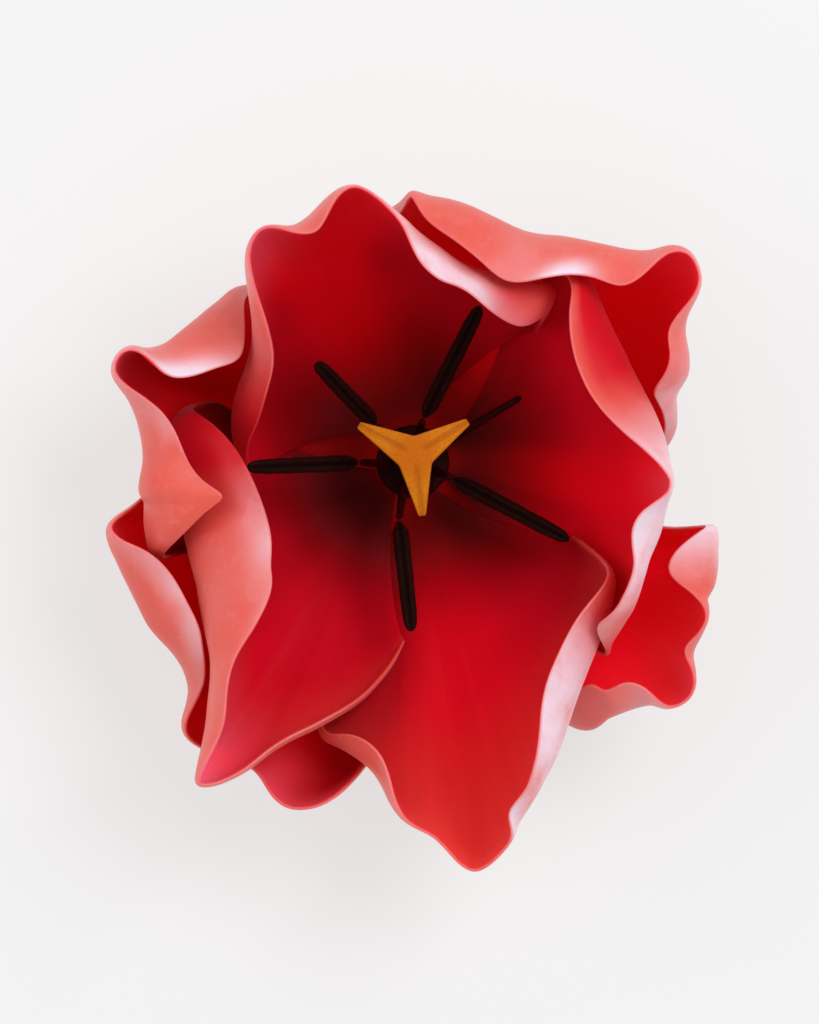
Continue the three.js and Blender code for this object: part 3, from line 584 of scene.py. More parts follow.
def petal_values(petal, across, along, rim_near, height):
    """What a petal's materials read at each grid point: the places across, along and in from the rim,
    the height as a share, and how strong each colour is there, painted light, highlight and shade among
    them."""
    values = {
        label: patches(petal[label], across, rim_near) * smooth_step(low, high, along)
        for label, (low, high) in PATCH_ALONG.items()
    }
    # the blush of painted shade thins out towards the rim, down to its rim share
    values["blush_shade"] *= 1 - (1 - petal["rim_blush_shade"]) * smooth_step(*BLUSH_SHADE_BAND, rim_near)
    return {
        **values,
        "across": across,
        "along": along,
        "from_rim": rim_near,
        "rim_height": smooth_step(*HIGH_RIM, height),
        "glow": petal["glow"] * smooth_step(*GLOW_ALONG, along),
        "lit_inside": petal["lit_inside"],
    }


def build_petal(name, petal, settings, seed):
    """A petal as a sheet f(across, along): the B-spline of its net, with soft folds along its normals,
    its margins drawn in, and a half thickness h that thins towards the rim and falls to nothing at the
    edge as the root of 1 - (1 - d/h)^2 of the distance d from it, so that the edge is round."""
    net = petal_net(petal)
    across, along = edge_rows(settings.columns), edge_rows(settings.rows)
    weights = spline_weights(net.shape[0], along), spline_weights(net.shape[1], across)
    grid = np.einsum("vr,rsk,us->vuk", weights[0], net, weights[1])
    along = along[:, None]
    half = settings.thickness / MM / 2
    to_root_or_rim, to_side = distance_in(grid)
    edge = np.minimum(to_root_or_rim, to_side)
    folds = petal_folds(across, along, seed) * settings.fold_height
    grid = drawn_in(grid + sheet_normals(grid) * (folds * smooth_step(0, FOLD_BAND, to_side))[..., None])
    grid[..., 2] = np.maximum(grid[..., 2], half)
    half = half * (1 - (1 - settings.rim_share) * smooth_step(*RIM_BAND, edge))
    reach = np.clip(edge / half, 0, 1)
    offset = sheet_normals(grid) * (half * np.sqrt(1 - (1 - reach) ** 2))[..., None]
    mesh, inside = sheet_mesh(f"petal_{name}_fine", grid + offset, grid - offset)
    rim_near = np.where(along > 0.5, edge, to_side)
    for label, value in petal_values(petal, across, along, rim_near, grid[..., 2]).items():
        value = np.broadcast_to(value, edge.shape)
        set_values(mesh, label, np.concatenate([value.ravel(), value[inside]]))
    faces = (edge.shape[0] - 1) * (edge.shape[1] - 1)
    mesh.polygons.foreach_set("material_index", np.repeat(np.array([0, 1], np.int32), faces))
    return mesh


def filament_curve(azimuth, knee):
    """Foot, a point straight above it, a point short of the end, and the end of a filament."""
    angle, knee = math.radians(azimuth), np.array(knee)
    x, y = FILAMENT_RING * math.cos(angle), FILAMENT_RING * math.sin(angle)
    foot = np.array([x, y, RECEPTACLE_TOP + SEAT_GAP])
    rise = np.array([0, 0, knee[2] - foot[2]])
    return foot, foot + 0.35 * rise, foot + 0.6 * (knee - foot) + 0.1 * rise, knee


def round_turn(sides):
    """Evenly spread angles of a full turn."""
    return np.linspace(0, 2 * math.pi, sides, endpoint=False)


def build_filament(name, azimuth, knee, settings):
    """A tapering strand: circles of falling radius along a cubic Bezier curve, faintly ribbed, both ends
    rounded off as the root of 1 - s^2."""
    t = np.linspace(0, 1, FILAMENT_GRID[0])
    angle = round_turn(FILAMENT_GRID[1])
    centres = bezier(filament_curve(azimuth, knee), t)
    radius = (settings.filament_foot + (settings.filament_tip - settings.filament_foot) * t) / MM
    ends = np.sqrt(1 - np.clip(1 - np.minimum(t / 0.02, (1 - t) / 0.03), 0, 0.97) ** 2)
    radius = (radius * ends)[:, None] * (1 + 0.05 * np.cos(5 * angle + 4 * t[:, None]))
    rings = swept_rings(centres, radius * np.cos(angle), radius * np.sin(angle))
    mesh = ring_mesh(f"filament_{name}_fine", rings)
    set_values(mesh, "along", np.append(np.repeat(t, len(angle)), (0, 1)))
    return mesh


def build_anther(name, knee, tip, settings):
    """Two long lobes side by side: flattened rings along a bowed curve, pinched along the top, the
    underside and, less, along both flanks, blunt at the ends and grainy with pollen."""
    knee, tip = np.array(knee), np.array(tip)
    start = knee + unit(tip - knee) * (SEAT_GAP + 0.6 * FILAMENT_TIP)
    middle = (start + tip) / 2 + (0, 0, ANTHER_BOW)
    t = (1 - np.cos(np.linspace(0, math.pi, ANTHER_GRID[0]))) / 2
    angle = round_turn(ANTHER_GRID[1])
    blunt = np.sqrt(np.clip(1 - np.abs(2 * t - 1) ** 8, 0, 1))
    neck = 1 - 0.35 * np.exp(-(t / 0.06) ** 2)
    taper = (np.maximum(0.12, blunt) * neck * (1 - 0.15 * t))[:, None]
    seam = 1 - settings.groove * np.exp(-(np.cos(angle) / 0.26) ** 2)
    flank = 1 - 0.10 * np.exp(-(np.sin(angle) / 0.22) ** 2)
    wide = settings.anther_width / MM / 2 * taper * flank * np.cos(angle)
    deep = settings.anther_depth / MM / 2 * taper * seam * np.sin(angle)
    rings = swept_rings(bezier((start, middle, tip), t), wide, deep)
    grain = 1 + 0.035 * roughness_field(rings, size=0.9, seed=5) * np.sqrt(blunt)[:, None]
    middles = rings.mean(1, keepdims=True)
    rings = middles + (rings - middles) * np.minimum(grain, 1.05)[..., None]
    mesh = ring_mesh(f"anther_{name}_fine", rings)
    depth = np.broadcast_to(np.exp(-(np.cos(angle) / 0.3) ** 2), rings.shape[:2])
    set_values(mesh, "groove", np.append(depth.ravel(), (1, 1)))
    return mesh


def build_ovary():
    """A three-cornered column: radius swelling by half a sine wave, plus a cosine of three times the
    angle for the corners and a narrow furrow down each of them."""
    t = np.linspace(0, 1, OVARY_GRID[0])[:, None]
    angle = round_turn(OVARY_GRID[1])
    radius = OVARY_RADIUS + OVARY_SWELL * np.sin(math.pi * np.minimum(1, 0.1 + 1.15 * t))
    turn = angle - math.radians(STIGMA_ARMS[0][0])
    furrow = np.exp(-((1 - np.cos(3 * turn)) / 0.08))
    radius = radius * (1 + OVARY_CORNER * np.cos(3 * turn) - OVARY_FURROW * furrow)
    foot = RECEPTACLE_TOP + SEAT_GAP
    x = radius * np.cos(angle) + STIGMA_CENTRE[0] * t
    y = radius * np.sin(angle) + STIGMA_CENTRE[1] * t
    z = np.broadcast_to(foot + (OVARY_TOP - foot) * t, x.shape)
    return ring_mesh("ovary_fine", np.stack([x, y, z], -1))


def stigma_outline(splits):
    """The star's outline: two corners at the end of each arm and one between each two arms, with its
    edges split evenly and its corners eased by a running mean."""
    corners = []
    for k, (azimuth, length) in enumerate(STIGMA_ARMS):
        gap = (STIGMA_ARMS[(k + 1) % 3][0] - azimuth) % 360
        side = STIGMA_END / 2 / length
        for turn, reach in ((-side, length), (side, length), (math.radians(gap / 2), STIGMA_WAIST)):
            angle = math.radians(azimuth) + turn
            corners.append((reach * math.cos(angle), reach * math.sin(angle)))
    points = []
    for k, corner in enumerate(corners):
        share = np.linspace(0, 1, splits // 4 if k % 3 == 0 else splits, endpoint=False)[:, None]
        points.append(np.array(corner) * (1 - share) + np.array(corners[(k + 1) % 9]) * share)
    points = np.concatenate(points)
    return (np.roll(points, 1, 0) + 2 * points + np.roll(points, -1, 0)) / 4


def arm_crease(points):
    """How deep each point lies in the crease of an arm, 0 to 1: a bell curve of the distance beside the
    arm's middle line, which comes in along it."""
    crease = np.zeros(points.shape[:-1])
    for azimuth, _ in STIGMA_ARMS:
        ahead = np.array([math.cos(math.radians(azimuth)), math.sin(math.radians(azimuth))])
        along, aside = points @ ahead, points @ np.array([-ahead[1], ahead[0]])
        crease = np.maximum(crease, np.exp(-(aside / 0.45) ** 2) * smooth_step(0.6, 2.5, along))
    return crease


def build_stigma(settings):
    """A velvety star of three arms: rings of its outline from under the middle out, round the edge and
    back over the top, which droops with the square of the radius. Each arm has a crease down it and
    the surface a fine nap."""
    under, over = np.linspace(0.03, 0.9, STIGMA_RINGS[0]), np.linspace(0.9, 0.03, STIGMA_RINGS[1])
    turn = np.linspace(0, math.pi, 11)[1:-1]
    scales = np.concatenate([under, 0.94 + 0.06 * np.sin(turn), over])
    height = np.concatenate([np.zeros_like(under), (1 - np.cos(turn)) / 2, np.ones_like(over)])[:, None]
    points = scales[:, None, None] * stigma_outline(STIGMA_SPLITS)
    radius = np.linalg.norm(points, axis=2)
    top = STIGMA_TOP - STIGMA_DROOP * radius ** 2
    depth = settings.stigma_depth / MM * (1 - radius / STIGMA_THIN)
    crease = arm_crease(points)
    layered = np.dstack([points, np.broadcast_to(height, radius.shape)])
    nap = np.minimum(NAP_HEIGHT * roughness_field(layered, size=0.5, seed=9), NAP_LIMIT)
    z = top - depth * (1 - height) - height * (CREASE_DIP * crease + NAP_LIMIT) + nap * height
    x, y = points[..., 0] + STIGMA_CENTRE[0], points[..., 1] + STIGMA_CENTRE[1]
    mesh = ring_mesh("stigma_fine", np.stack([x, y, z], -1))
    set_values(mesh, "crease", np.append((crease * height).ravel(), (0, 0)))
    set_values(mesh, "reach", np.append(radius.ravel(), (0, 0)))
    return mesh


def build_stem_end():
    """The cut end of the stem and the swelling that the petals spring from: a profile turned round the
    axis, its corners eased, with twelve faint ribs."""
    corners = np.array(STEM_PROFILE)
    places = np.linspace(0, len(corners) - 1, STEM_GRID[0])
    profile = np.stack([np.interp(places, range(len(corners)), corners[:, k]) for k in (0, 1)], 1)
    for _ in range(3):
        profile[1:-1] = (profile[:-2] + 2 * profile[1:-1] + profile[2:]) / 4
    angle = round_turn(STEM_GRID[1])
    radius, height = profile[:, :1], profile[:, 1:]
    ribbed = smooth_step(0.2, 1.5, height) * smooth_step(7.0, 6.4, height)
    radius = radius * (1 - RIB_DEPTH * (1 - np.cos(STEM_RIBS * angle)) * ribbed)
    x, y = radius * np.cos(angle), radius * np.sin(angle)
    return ring_mesh("stem_end_fine", np.stack([x, y, np.broadcast_to(height, x.shape)], -1))


# ---- materials -------------------------------------------------------------------------------------

class Finish:
    """A material's node tree, added to one node at a time."""

    def __init__(self, name, **constants):
        self.material = bpy.data.materials.new(name)
        self.material.use_nodes = True
        self.tree = self.material.node_tree
        self.shader = self.tree.nodes["Principled BSDF"]
        for socket, value in constants.items():
            self.shader.inputs[socket.replace("_", " ")].default_value = value

    def node(self, kind, inputs, **settings):
        """Adds a node, sets it, and feeds its inputs with numbers, colours or other nodes' outputs."""
        made = self.tree.nodes.new(kind)
        for name, value in settings.items():
            setattr(made, name, value)
        for place, value in inputs.items():
            if isinstance(value, bpy.types.NodeSocket):
                self.tree.links.new(value, made.inputs[place])
            else:
                made.inputs[place].default_value = value
        return made

    def value(self, attribute):
        """One number kept on the mesh's points."""
        return self.node("ShaderNodeAttribute", {}, attribute_name=attribute).outputs["Fac"]

    def place(self):
        return self.node("ShaderNodeTexCoord", {}).outputs["Object"]

    def maths(self, operation, *terms):
        return self.node("ShaderNodeMath", dict(enumerate(terms)), operation=operation).outputs[0]

    def times(self, first, second):
        return self.maths("MULTIPLY", first, second)

    def span(self, value, low, high, start=0.0, end=1.0):
        """Maps low to high smoothly onto start to end."""
        inputs = {"Value": value, "From Min": low, "From Max": high, "To Min": start, "To Max": end}
        made = self.node("ShaderNodeMapRange", inputs, interpolation_type="SMOOTHSTEP")
        return made.outputs["Result"]

    def mix(self, factor, first, second, blend="MIX"):
        """Mixes two colours, each given by another node or as red, green and blue."""
        inputs = {0: factor}
        for place, colour in ((6, first), (7, second)):
            inputs[place] = colour if isinstance(colour, bpy.types.NodeSocket) else (*colour, 1.0)
        return self.node("ShaderNodeMix", inputs, data_type="RGBA", blend_type=blend).outputs[2]

    def noise(self, vector, scale, detail=4.0, roughness=0.55):
        inputs = {"Vector": vector, "Scale": scale, "Detail": detail, "Roughness": roughness}
        return self.node("ShaderNodeTexNoise", inputs).outputs["Fac"]

    def vector(self, x, y, z):
        return self.node("ShaderNodeCombineXYZ", {"X": x, "Y": y, "Z": z}).outputs[0]

    def streaks(self, scale):
        """Lengthwise streaks: noise on places stretched by a scale for each direction."""
        inputs = {"Vector": self.place(), "Scale": scale}
        return self.noise(self.node("ShaderNodeMapping", inputs, vector_type="POINT").outputs[0], 1.0)

    def veins(self, across, along, shift):
        """Fine veins that run along: noise on the shares across and along, each times its own scale."""
        x, y = self.times(self.value("across"), across), self.times(self.value("along"), along)
        return self.noise(self.vector(x, y, shift), 1.0, detail=5.0, roughness=0.6)

    def colour(self, colour):
        self.tree.links.new(colour, self.shader.inputs["Base Color"])

    def bump(self, height, strength, distance):
        inputs = {"Height": height, "Strength": strength, "Distance": distance}
        made = self.node("ShaderNodeBump", inputs)
        self.tree.links.new(made.outputs["Normal"], self.shader.inputs["Normal"])


def velvet(weight, roughness, tint):
    """Socket values for a soft sheen."""
    return {"Sheen_Weight": weight, "Sheen_Roughness": roughness, "Sheen_Tint": (*tint, 1.0)}


def flesh(weight, reach):
    """Socket values for light that passes under the surface, with its reach in metres for each colour."""
    return {"Subsurface_Weight": weight, "Subsurface_Radius": reach, "Subsurface_Scale": 1.0}


def petal_inner_finish(settings):
    """Deep velvety crimson, nearly black at the root, partly its own blotch and partly painted shade
    of the deep cup, with a lighter tip, painted light where light reaches in, painted rose highlights,
    painted shade in patches and along the sides, and soft lengthwise veins."""
    finish = Finish(
        "petal_inner", Roughness=0.6, Specular_IOR_Level=0.06, **velvet(0.02, 0.5, (1.0, 0.5, 0.65)),
        **flesh(0.7, (0.005, 0.0003, 0.0005)),
    )
    vein = finish.veins(60.0, 2.0, 0.0)
    cloud = finish.noise(finish.place(), 45.0, detail=3.0)
    body = finish.mix(finish.span(cloud, 0.3, 0.7), settings.inner_colour, settings.inner_cloud)
    # Mixed in turn: painted light where light reaches into the cup, the tip's colour, painted rose
    # highlights, and painted shade in patches and along the sides.
    for label, colour in (
        ("lit_inside", settings.lit_inside_colour), ("glow", settings.tip_colour), ("rose_highlight", settings.rose_highlight_colour),
        ("dusk_shade", settings.dusk_shade_colour), ("wine_shade", settings.dusk_shade_colour),
    ):
        body = finish.mix(finish.value(label), body, colour)
    feathered = finish.maths("ADD", finish.value("along"), finish.times(vein, 0.10))
    # The dark root: partly the petal's own blotch, partly painted shade of the deep cup.
    rooted = finish.mix(finish.span(feathered, 0.6, 0.1), body, settings.blotch_and_shade_colour)
    veined = finish.mix(finish.span(vein, 0.4, 0.75, 0.0, 0.10), rooted, settings.inner_vein, "MULTIPLY")
    # A painted highlight along the rim.
    finish.colour(finish.mix(rim_highlight_line(finish, 0.55), veined, settings.rim_highlight_colour))
    finish.bump(vein, 0.1, 0.0001)
    return finish.material


def petal_outer_finish(settings):
    """Coral satin with a lilac bloom on the rolled margins, partly its own pearly bloom and partly painted
    highlight, crimson patches and dark sides of painted shade, fine lengthwise veins and slanting
    scratches, and an orange foot."""
    finish = Finish(
        "petal_outer", Roughness=0.45, Specular_IOR_Level=0.3, Coat_Weight=0.08, Coat_Roughness=0.3,
        **velvet(0.08, 0.4, (1.0, 0.7, 0.85)), **flesh(0.5, (0.004, 0.0004, 0.0005)),
    )
    across, along = finish.value("across"), finish.value("along")
    vein = finish.veins(150.0, 4.0, 5.0)
    cloud = finish.noise(finish.place(), 70.0)
    speckle = finish.noise(finish.place(), 420.0, detail=5.0, roughness=0.65)
    body = finish.mix(finish.span(cloud, 0.35, 0.7), settings.back_colour, settings.back_cloud)
    body = finish.mix(finish.span(speckle, 0.52, 0.72, 0.0, 0.18), body, settings.speckle_colour)
    # Pale lilac patches: partly the petal's own pearly bloom, partly painted highlight. Crimson patches and
    # dark sides: painted shade.
    pearl_and_highlight = finish.times(finish.value("pearl_and_highlight"), finish.span(cloud, 0.2, 0.58))
    body = finish.mix(pearl_and_highlight, body, settings.pearl_and_highlight_colour)
    body = finish.mix(finish.value("blush_shade"), body, settings.blush_shade_colour)
    body = finish.mix(finish.value("wine_shade"), body, settings.dusk_shade_colour)
    rooted = finish.mix(finish.span(along, 0.34, 0.02), body, settings.foot_colour)
    depth = finish.times(finish.span(along, 0.5, 0.85, 0.4, 0.07), finish.span(vein, 0.42, 0.72))
    veined = finish.mix(depth, rooted, settings.outer_vein, "MULTIPLY")
    # Pale scratches in the bloom's colour, only where the pale patches lie, so partly painted highlight.
    slant = finish.maths("ADD", finish.times(across, 40.0), finish.times(along, 55.0))
    scratch = finish.noise(finish.vector(slant, finish.times(along, 9.0), 11.0), 1.0, 3.0, 0.7)
    scratch = finish.times(finish.span(scratch, 0.62, 0.70, 0.0, 0.3), finish.value("pearl_and_highlight"))
    scratched = finish.mix(scratch, veined, settings.pearl_and_highlight_colour)
    # A painted highlight along the rim.
    finish.colour(finish.mix(rim_highlight_line(finish, 0.7), scratched, settings.rim_highlight_colour))
    finish.bump(vein, 0.2, 0.00012)
    return finish.material


def rim_highlight_line(finish, strength):
    """A painted highlight: a thin lighter line along the rim, which fades away down the sides, deep in the
    cup, and where painted shade makes the petal crimson or dark."""
    line = finish.span(finish.value("from_rim"), 0.32, 0.05, 0.0, strength)
    painted_shade = finish.maths("MAXIMUM", finish.times(finish.value("blush_shade"), 0.8), finish.value("wine_shade"))
    plain = finish.maths("SUBTRACT", 1.0, painted_shade)
    return finish.times(finish.times(line, finish.value("rim_height")), plain)


def filament_finish(settings):
    """Nearly black maroon, a little paler at the foot, with fine mottling."""
    finish = Finish("filament_maroon", Roughness=0.6, Specular_IOR_Level=0.04)
    mottle = finish.noise(finish.place(), 900.0)
    upwards = finish.span(finish.value("along"), 0.0, 0.5)
    body = finish.mix(upwards, settings.foot_colour, settings.filament_colour)
    finish.colour(finish.mix(finish.span(mottle, 0.35, 0.75, 0.0, 0.6), body, settings.mottle_colour))
    finish.bump(mottle, 0.2, 0.00005)
    return finish.material


def anther_finish(settings):
    """Nearly black violet brown, dusty with pollen on the lobes and darker down the seams."""
    finish = Finish(
        "anther_dusty", Roughness=0.7, Specular_IOR_Level=0.05, **velvet(0.02, 0.5, (0.9, 0.5, 0.4)),
    )
    grain = finish.noise(finish.place(), 2600.0, detail=3.0)
    patch = finish.noise(finish.place(), 420.0, detail=3.0)
    dust = finish.times(finish.span(grain, 0.48, 0.7), finish.span(patch, 0.35, 0.65))
    body = finish.mix(dust, settings.anther_colour, settings.pollen_colour)
    finish.colour(finish.mix(finish.span(finish.value("groove"), 0.25, 0.9), body, settings.seam_colour))
    finish.bump(grain, 0.5, 0.00008)
    return finish.material


def stigma_finish(settings):
    """Matte golden velvet, more orange towards the middle and down the creases, with a fine nap."""
    finish = Finish(
        "stigma_velvet", Roughness=0.8, Specular_IOR_Level=0.12, **velvet(0.05, 0.6, (1.0, 0.8, 0.35)),
        **flesh(0.15, (0.001, 0.0006, 0.0002)),
    )
    crease, reach = finish.value("crease"), finish.value("reach")
    nap = finish.noise(finish.place(), 2400.0)
    cloud = finish.noise(finish.place(), 260.0, detail=3.0)
    body = finish.mix(finish.span(cloud, 0.3, 0.7), settings.stigma_colour, settings.arm_colour)
    inner = finish.mix(finish.span(reach, 5.0, 2.0), body, settings.middle_colour)
    creased = finish.mix(finish.span(crease, 0.1, 0.9, 0.0, 0.5), inner, settings.crease_colour)
    finish.colour(finish.mix(finish.span(nap, 0.3, 0.75, 0.35, 0.0), creased, settings.nap_colour))
    finish.bump(nap, 0.55, 0.00012)
    return finish.material


def ovary_finish(settings):
    """Yellowish brown column, its own pale olive made dark as painted shade under the stigma, streaked
    lengthwise.
    """
    finish = Finish(
        "ovary_green", Roughness=0.5, Specular_IOR_Level=0.4, **flesh(0.1, (0.001, 0.0012, 0.0004)),
    )
    streak = finish.streaks((900.0, 900.0, 70.0))
    finish.colour(finish.mix(finish.span(streak, 0.3, 0.7), settings.ovary_shaded_colour, settings.ovary_streak))
    finish.bump(streak, 0.3, 0.00008)
    return finish.material


def stem_finish(settings):
    """Pale green skin streaked lengthwise, nearly black as painted shade where the petals spring from it,
    with a lighter cut face dotted by the stem's strands."""
    finish = Finish(
        "stem_green", Roughness=0.6, Specular_IOR_Level=0.05, **flesh(0.1, (0.001, 0.0012, 0.0004)),
    )
    streak = finish.streaks((700.0, 700.0, 60.0))
    place = finish.place()
    height = finish.node("ShaderNodeSeparateXYZ", {"Vector": place}).outputs["Z"]
    cells = finish.node("ShaderNodeTexVoronoi", {"Vector": place, "Scale": 1100.0}).outputs["Distance"]
    dots = finish.mix(finish.span(cells, 0.22, 0.12), settings.cut_colour, settings.strand_colour)
    skin = finish.mix(finish.span(streak, 0.3, 0.7), settings.stem_colour, settings.streak_colour)
    # Painted shade: nearly black above where the petals spring from it.
    skin = finish.mix(finish.span(height, 0.0040, 0.0060), skin, settings.seat_shade_colour)
    finish.colour(finish.mix(finish.span(height, 0.00012, 0.00004), skin, dots))
    finish.bump(streak, 0.25, 0.00008)
    return finish.material


def floor_finish(settings):
    """A matte pale floor, partly self-lit so that shadows on it stay faint."""
    finish = Finish(
        "pale_floor", Roughness=0.9, Specular_IOR_Level=0.0, Emission_Color=(1.0, 1.0, 1.0, 1.0),
        Emission_Strength=settings.floor_glow,
    )
    shade = finish.noise(finish.place(), 3.0, detail=2.0)
    darker = [FLOOR_SHADE * channel for channel in settings.floor_colour]
    finish.colour(finish.mix(finish.span(shade, 0.3, 0.7), settings.floor_colour, darker))
    return finish.material


# ---- settings --------------------------------------------------------------------------------------

def colour_of(name, description, default):
    return FloatVectorProperty(
        name=name, description=description, default=default, size=3, min=0.0, max=1.0, subtype="COLOR",
    )


class TulipPetalSettings(bpy.types.PropertyGroup):
    thickness: FloatProperty(
        name="Thickness", description="Thickness of a petal", default=PETAL_THICKNESS * MM, unit="LENGTH",
    )
    rim_share: FloatProperty(
        name="Rim share", description="Share of the thickness that is left at the rim", default=0.6,
        subtype="FACTOR",
    )
    fold_height: FloatProperty(
        name="Fold height", description="How strongly the soft lengthwise folds stand out",
        default=0.6, subtype="FACTOR",
    )
    columns: IntProperty(name="Columns", description="Grid points from side to side", default=220)
    rows: IntProperty(name="Rows", description="Grid points from root to rim", default=112)
    inner_colour: colour_of("Inside", "Colour of the inner face", (0.56, 0.0010, 0.008))
    inner_cloud: colour_of("Inside, cloud", "Colour of the clouds of the inner face", (0.66, 0.0016, 0.016))
    # Painted light: a brighter red for inner faces that light reaches into.
    lit_inside_colour: colour_of("Inside, fresh", "Colour of the freshest inner faces", (0.98, 0.003, 0.022))
    tip_colour: colour_of("Inside, tip", "Colour of the inner face near the rim", (0.78, 0.06, 0.05))
    # Painted highlight: lighter rose patches near the rim.
    rose_highlight_colour: colour_of("Inside, rose", "Colour of its rose patches near the rim", (0.86, 0.14, 0.24))
    # Painted shade: darker patches of the inner face and dark stretches along the sides of both faces.
    dusk_shade_colour: colour_of("Inside, dusk", "Colour of its darker patches", (0.24, 0.0006, 0.004))
    # Partly the petal's own blotch, partly painted shade of the deep cup.
    blotch_and_shade_colour: colour_of("Blotch", "Colour of the inner face at the root", (0.055, 0.0004, 0.0010))
    back_colour: colour_of("Back", "Colour of the outer face", (0.74, 0.086, 0.058))
    back_cloud: colour_of("Back, cloud", "Colour of the clouds of the outer face", (0.73, 0.12, 0.10))
    # Partly the petal's own pearly bloom, partly painted highlight.
    pearl_and_highlight_colour: colour_of("Back, bloom", "Colour of the pearly bloom on the rolls", (0.84, 0.62, 0.71))
    # Painted shade with its red bounce light.
    blush_shade_colour: colour_of("Back, blush", "Colour of its crimson patches", (0.58, 0.002, 0.012))
    speckle_colour: colour_of("Back, speckle", "Colour of its fine speckle", (0.84, 0.27, 0.27))
    foot_colour: colour_of("Back, foot", "Colour of the outer face at the root", (0.50, 0.22, 0.07))
    # Painted highlight along the rim.
    rim_highlight_colour: colour_of("Rim", "Colour of the rim", (0.80, 0.17, 0.17))
    inner_vein: colour_of("Inside, veins", "Tint of the veins inside", (0.45, 0.01, 0.02))
    outer_vein: colour_of("Back, veins", "Tint of the veins outside", (0.70, 0.30, 0.28))


class TulipStamenSettings(bpy.types.PropertyGroup):
    filament_foot: FloatProperty(
        name="Filament, foot", description="Radius of a filament at its foot", default=FILAMENT_FOOT * MM,
        unit="LENGTH",
    )
    filament_tip: FloatProperty(
        name="Filament, tip", description="Radius of a filament at its end", default=FILAMENT_TIP * MM,
        unit="LENGTH",
    )
    anther_width: FloatProperty(
        name="Anther width", description="Width over both lobes", default=ANTHER_WIDTH * MM, unit="LENGTH",
    )
    anther_depth: FloatProperty(
        name="Anther depth", description="Depth of a lobe", default=ANTHER_DEPTH * MM, unit="LENGTH",
    )
    groove: FloatProperty(
        name="Groove", description="Share of the depth that the seam takes", default=0.5, subtype="FACTOR",
    )
    filament_colour: colour_of("Filament", "Colour of the filaments", (0.022, 0.0008, 0.0012))
    foot_colour: colour_of("Filament foot", "Colour of the filaments at the foot", (0.03, 0.003, 0.003))
    mottle_colour: colour_of("Filament mottling", "Colour of its mottling", (0.055, 0.002, 0.003))
    anther_colour: colour_of("Anther", "Colour of the anthers", (0.013, 0.0016, 0.0008))
    pollen_colour: colour_of("Pollen", "Colour of the dust on the anthers", (0.024, 0.007, 0.006))
    seam_colour: colour_of("Seam", "Colour of the seams between the lobes", (0.004, 0.0008, 0.0008))


class TulipPistilSettings(bpy.types.PropertyGroup):
    stigma_depth: FloatProperty(
        name="Stigma depth", description="Thickness of the star in its middle", default=STIGMA_DEPTH * MM,
        unit="LENGTH",
    )
    stigma_colour: colour_of("Stigma", "Colour of the stigma", (0.56, 0.165, 0.003))
    arm_colour: colour_of("Stigma, paler", "Colour of its paler clouds", (0.60, 0.20, 0.008))
    middle_colour: colour_of("Stigma, middle", "Colour between its arms", (0.52, 0.13, 0.002))
    crease_colour: colour_of("Stigma, creases", "Colour down its creases", (0.36, 0.08, 0.001))
    nap_colour: colour_of("Stigma, nap", "Colour between the tufts of its nap", (0.30, 0.08, 0.001))
    # Its own pale olive, made dark as painted shade under the stigma.
    ovary_shaded_colour: colour_of("Ovary", "Colour of the column", (0.11, 0.09, 0.012))
    ovary_streak: colour_of("Ovary, streaks", "Colour of its streaks", (0.07, 0.04, 0.008))


class TulipStemSettings(bpy.types.PropertyGroup):
    stem_colour: colour_of("Stem", "Colour of the stem end", (0.30, 0.42, 0.13))
    streak_colour: colour_of("Stem, streaks", "Colour of its streaks", (0.22, 0.33, 0.09))
    # Painted shade: nearly black where the petals close over the stem end.
    seat_shade_colour: colour_of("Seat", "Colour of the swelling inside the petals", (0.02, 0.003, 0.002))
    cut_colour: colour_of("Cut face", "Colour of the cut face", (0.62, 0.66, 0.36))
    strand_colour: colour_of("Strands", "Colour of the strands in the cut face", (0.33, 0.42, 0.16))


class TulipStageSettings(bpy.types.PropertyGroup):
    camera_height: FloatProperty(
        name="Camera height", description="Height of the camera over the floor", default=1.2, unit="LENGTH",
    )
    camera_offset: FloatVectorProperty(
        name="Camera offset", description="Where the camera stands from the flower's axis",
        default=(-0.0005, -0.0078), size=2, unit="LENGTH",
    )
    focal_length: FloatProperty(
        name="Focal length", description="Focal length of the camera, in millimetres", default=270.7,
    )
    floor_size: FloatProperty(
        name="Floor size", description="Side of the floor", default=6.0, unit="LENGTH",
    )
    floor_colour: colour_of("Floor", "Colour of the floor", (0.25, 0.25, 0.25))
    floor_glow: FloatProperty(name="Floor glow", description="How far the floor lights itself", default=0.6)
    sky_light: FloatProperty(name="Sky light", description="Strength of the even light", default=0.62)
    key_light: FloatProperty(
        name="Key light", description="Power of the main lamp", default=7.0, unit="POWER",
    )
    fill_light: FloatProperty(
        name="Fill light", description="Power of the fill lamp", default=2.7, unit="POWER",
    )


# ---- operators -------------------------------------------------------------------------------------

class TULIP_OT_petals(bpy.types.Operator):
    """Adds the eight petals"""

    bl_idname = "tulip.petals"
    bl_label = "Petals"

    def execute(self, context):
        settings = context.scene.tulip_petals
        outer, inner = petal_outer_finish(settings), petal_inner_finish(settings)
        for seed, (name, petal) in enumerate(PETALS.items()):
            mesh = build_petal(name, petal, settings, seed)
            place_piece(mesh, "petal_" + name, "petal", outer, inner)
        return {"FINISHED"}


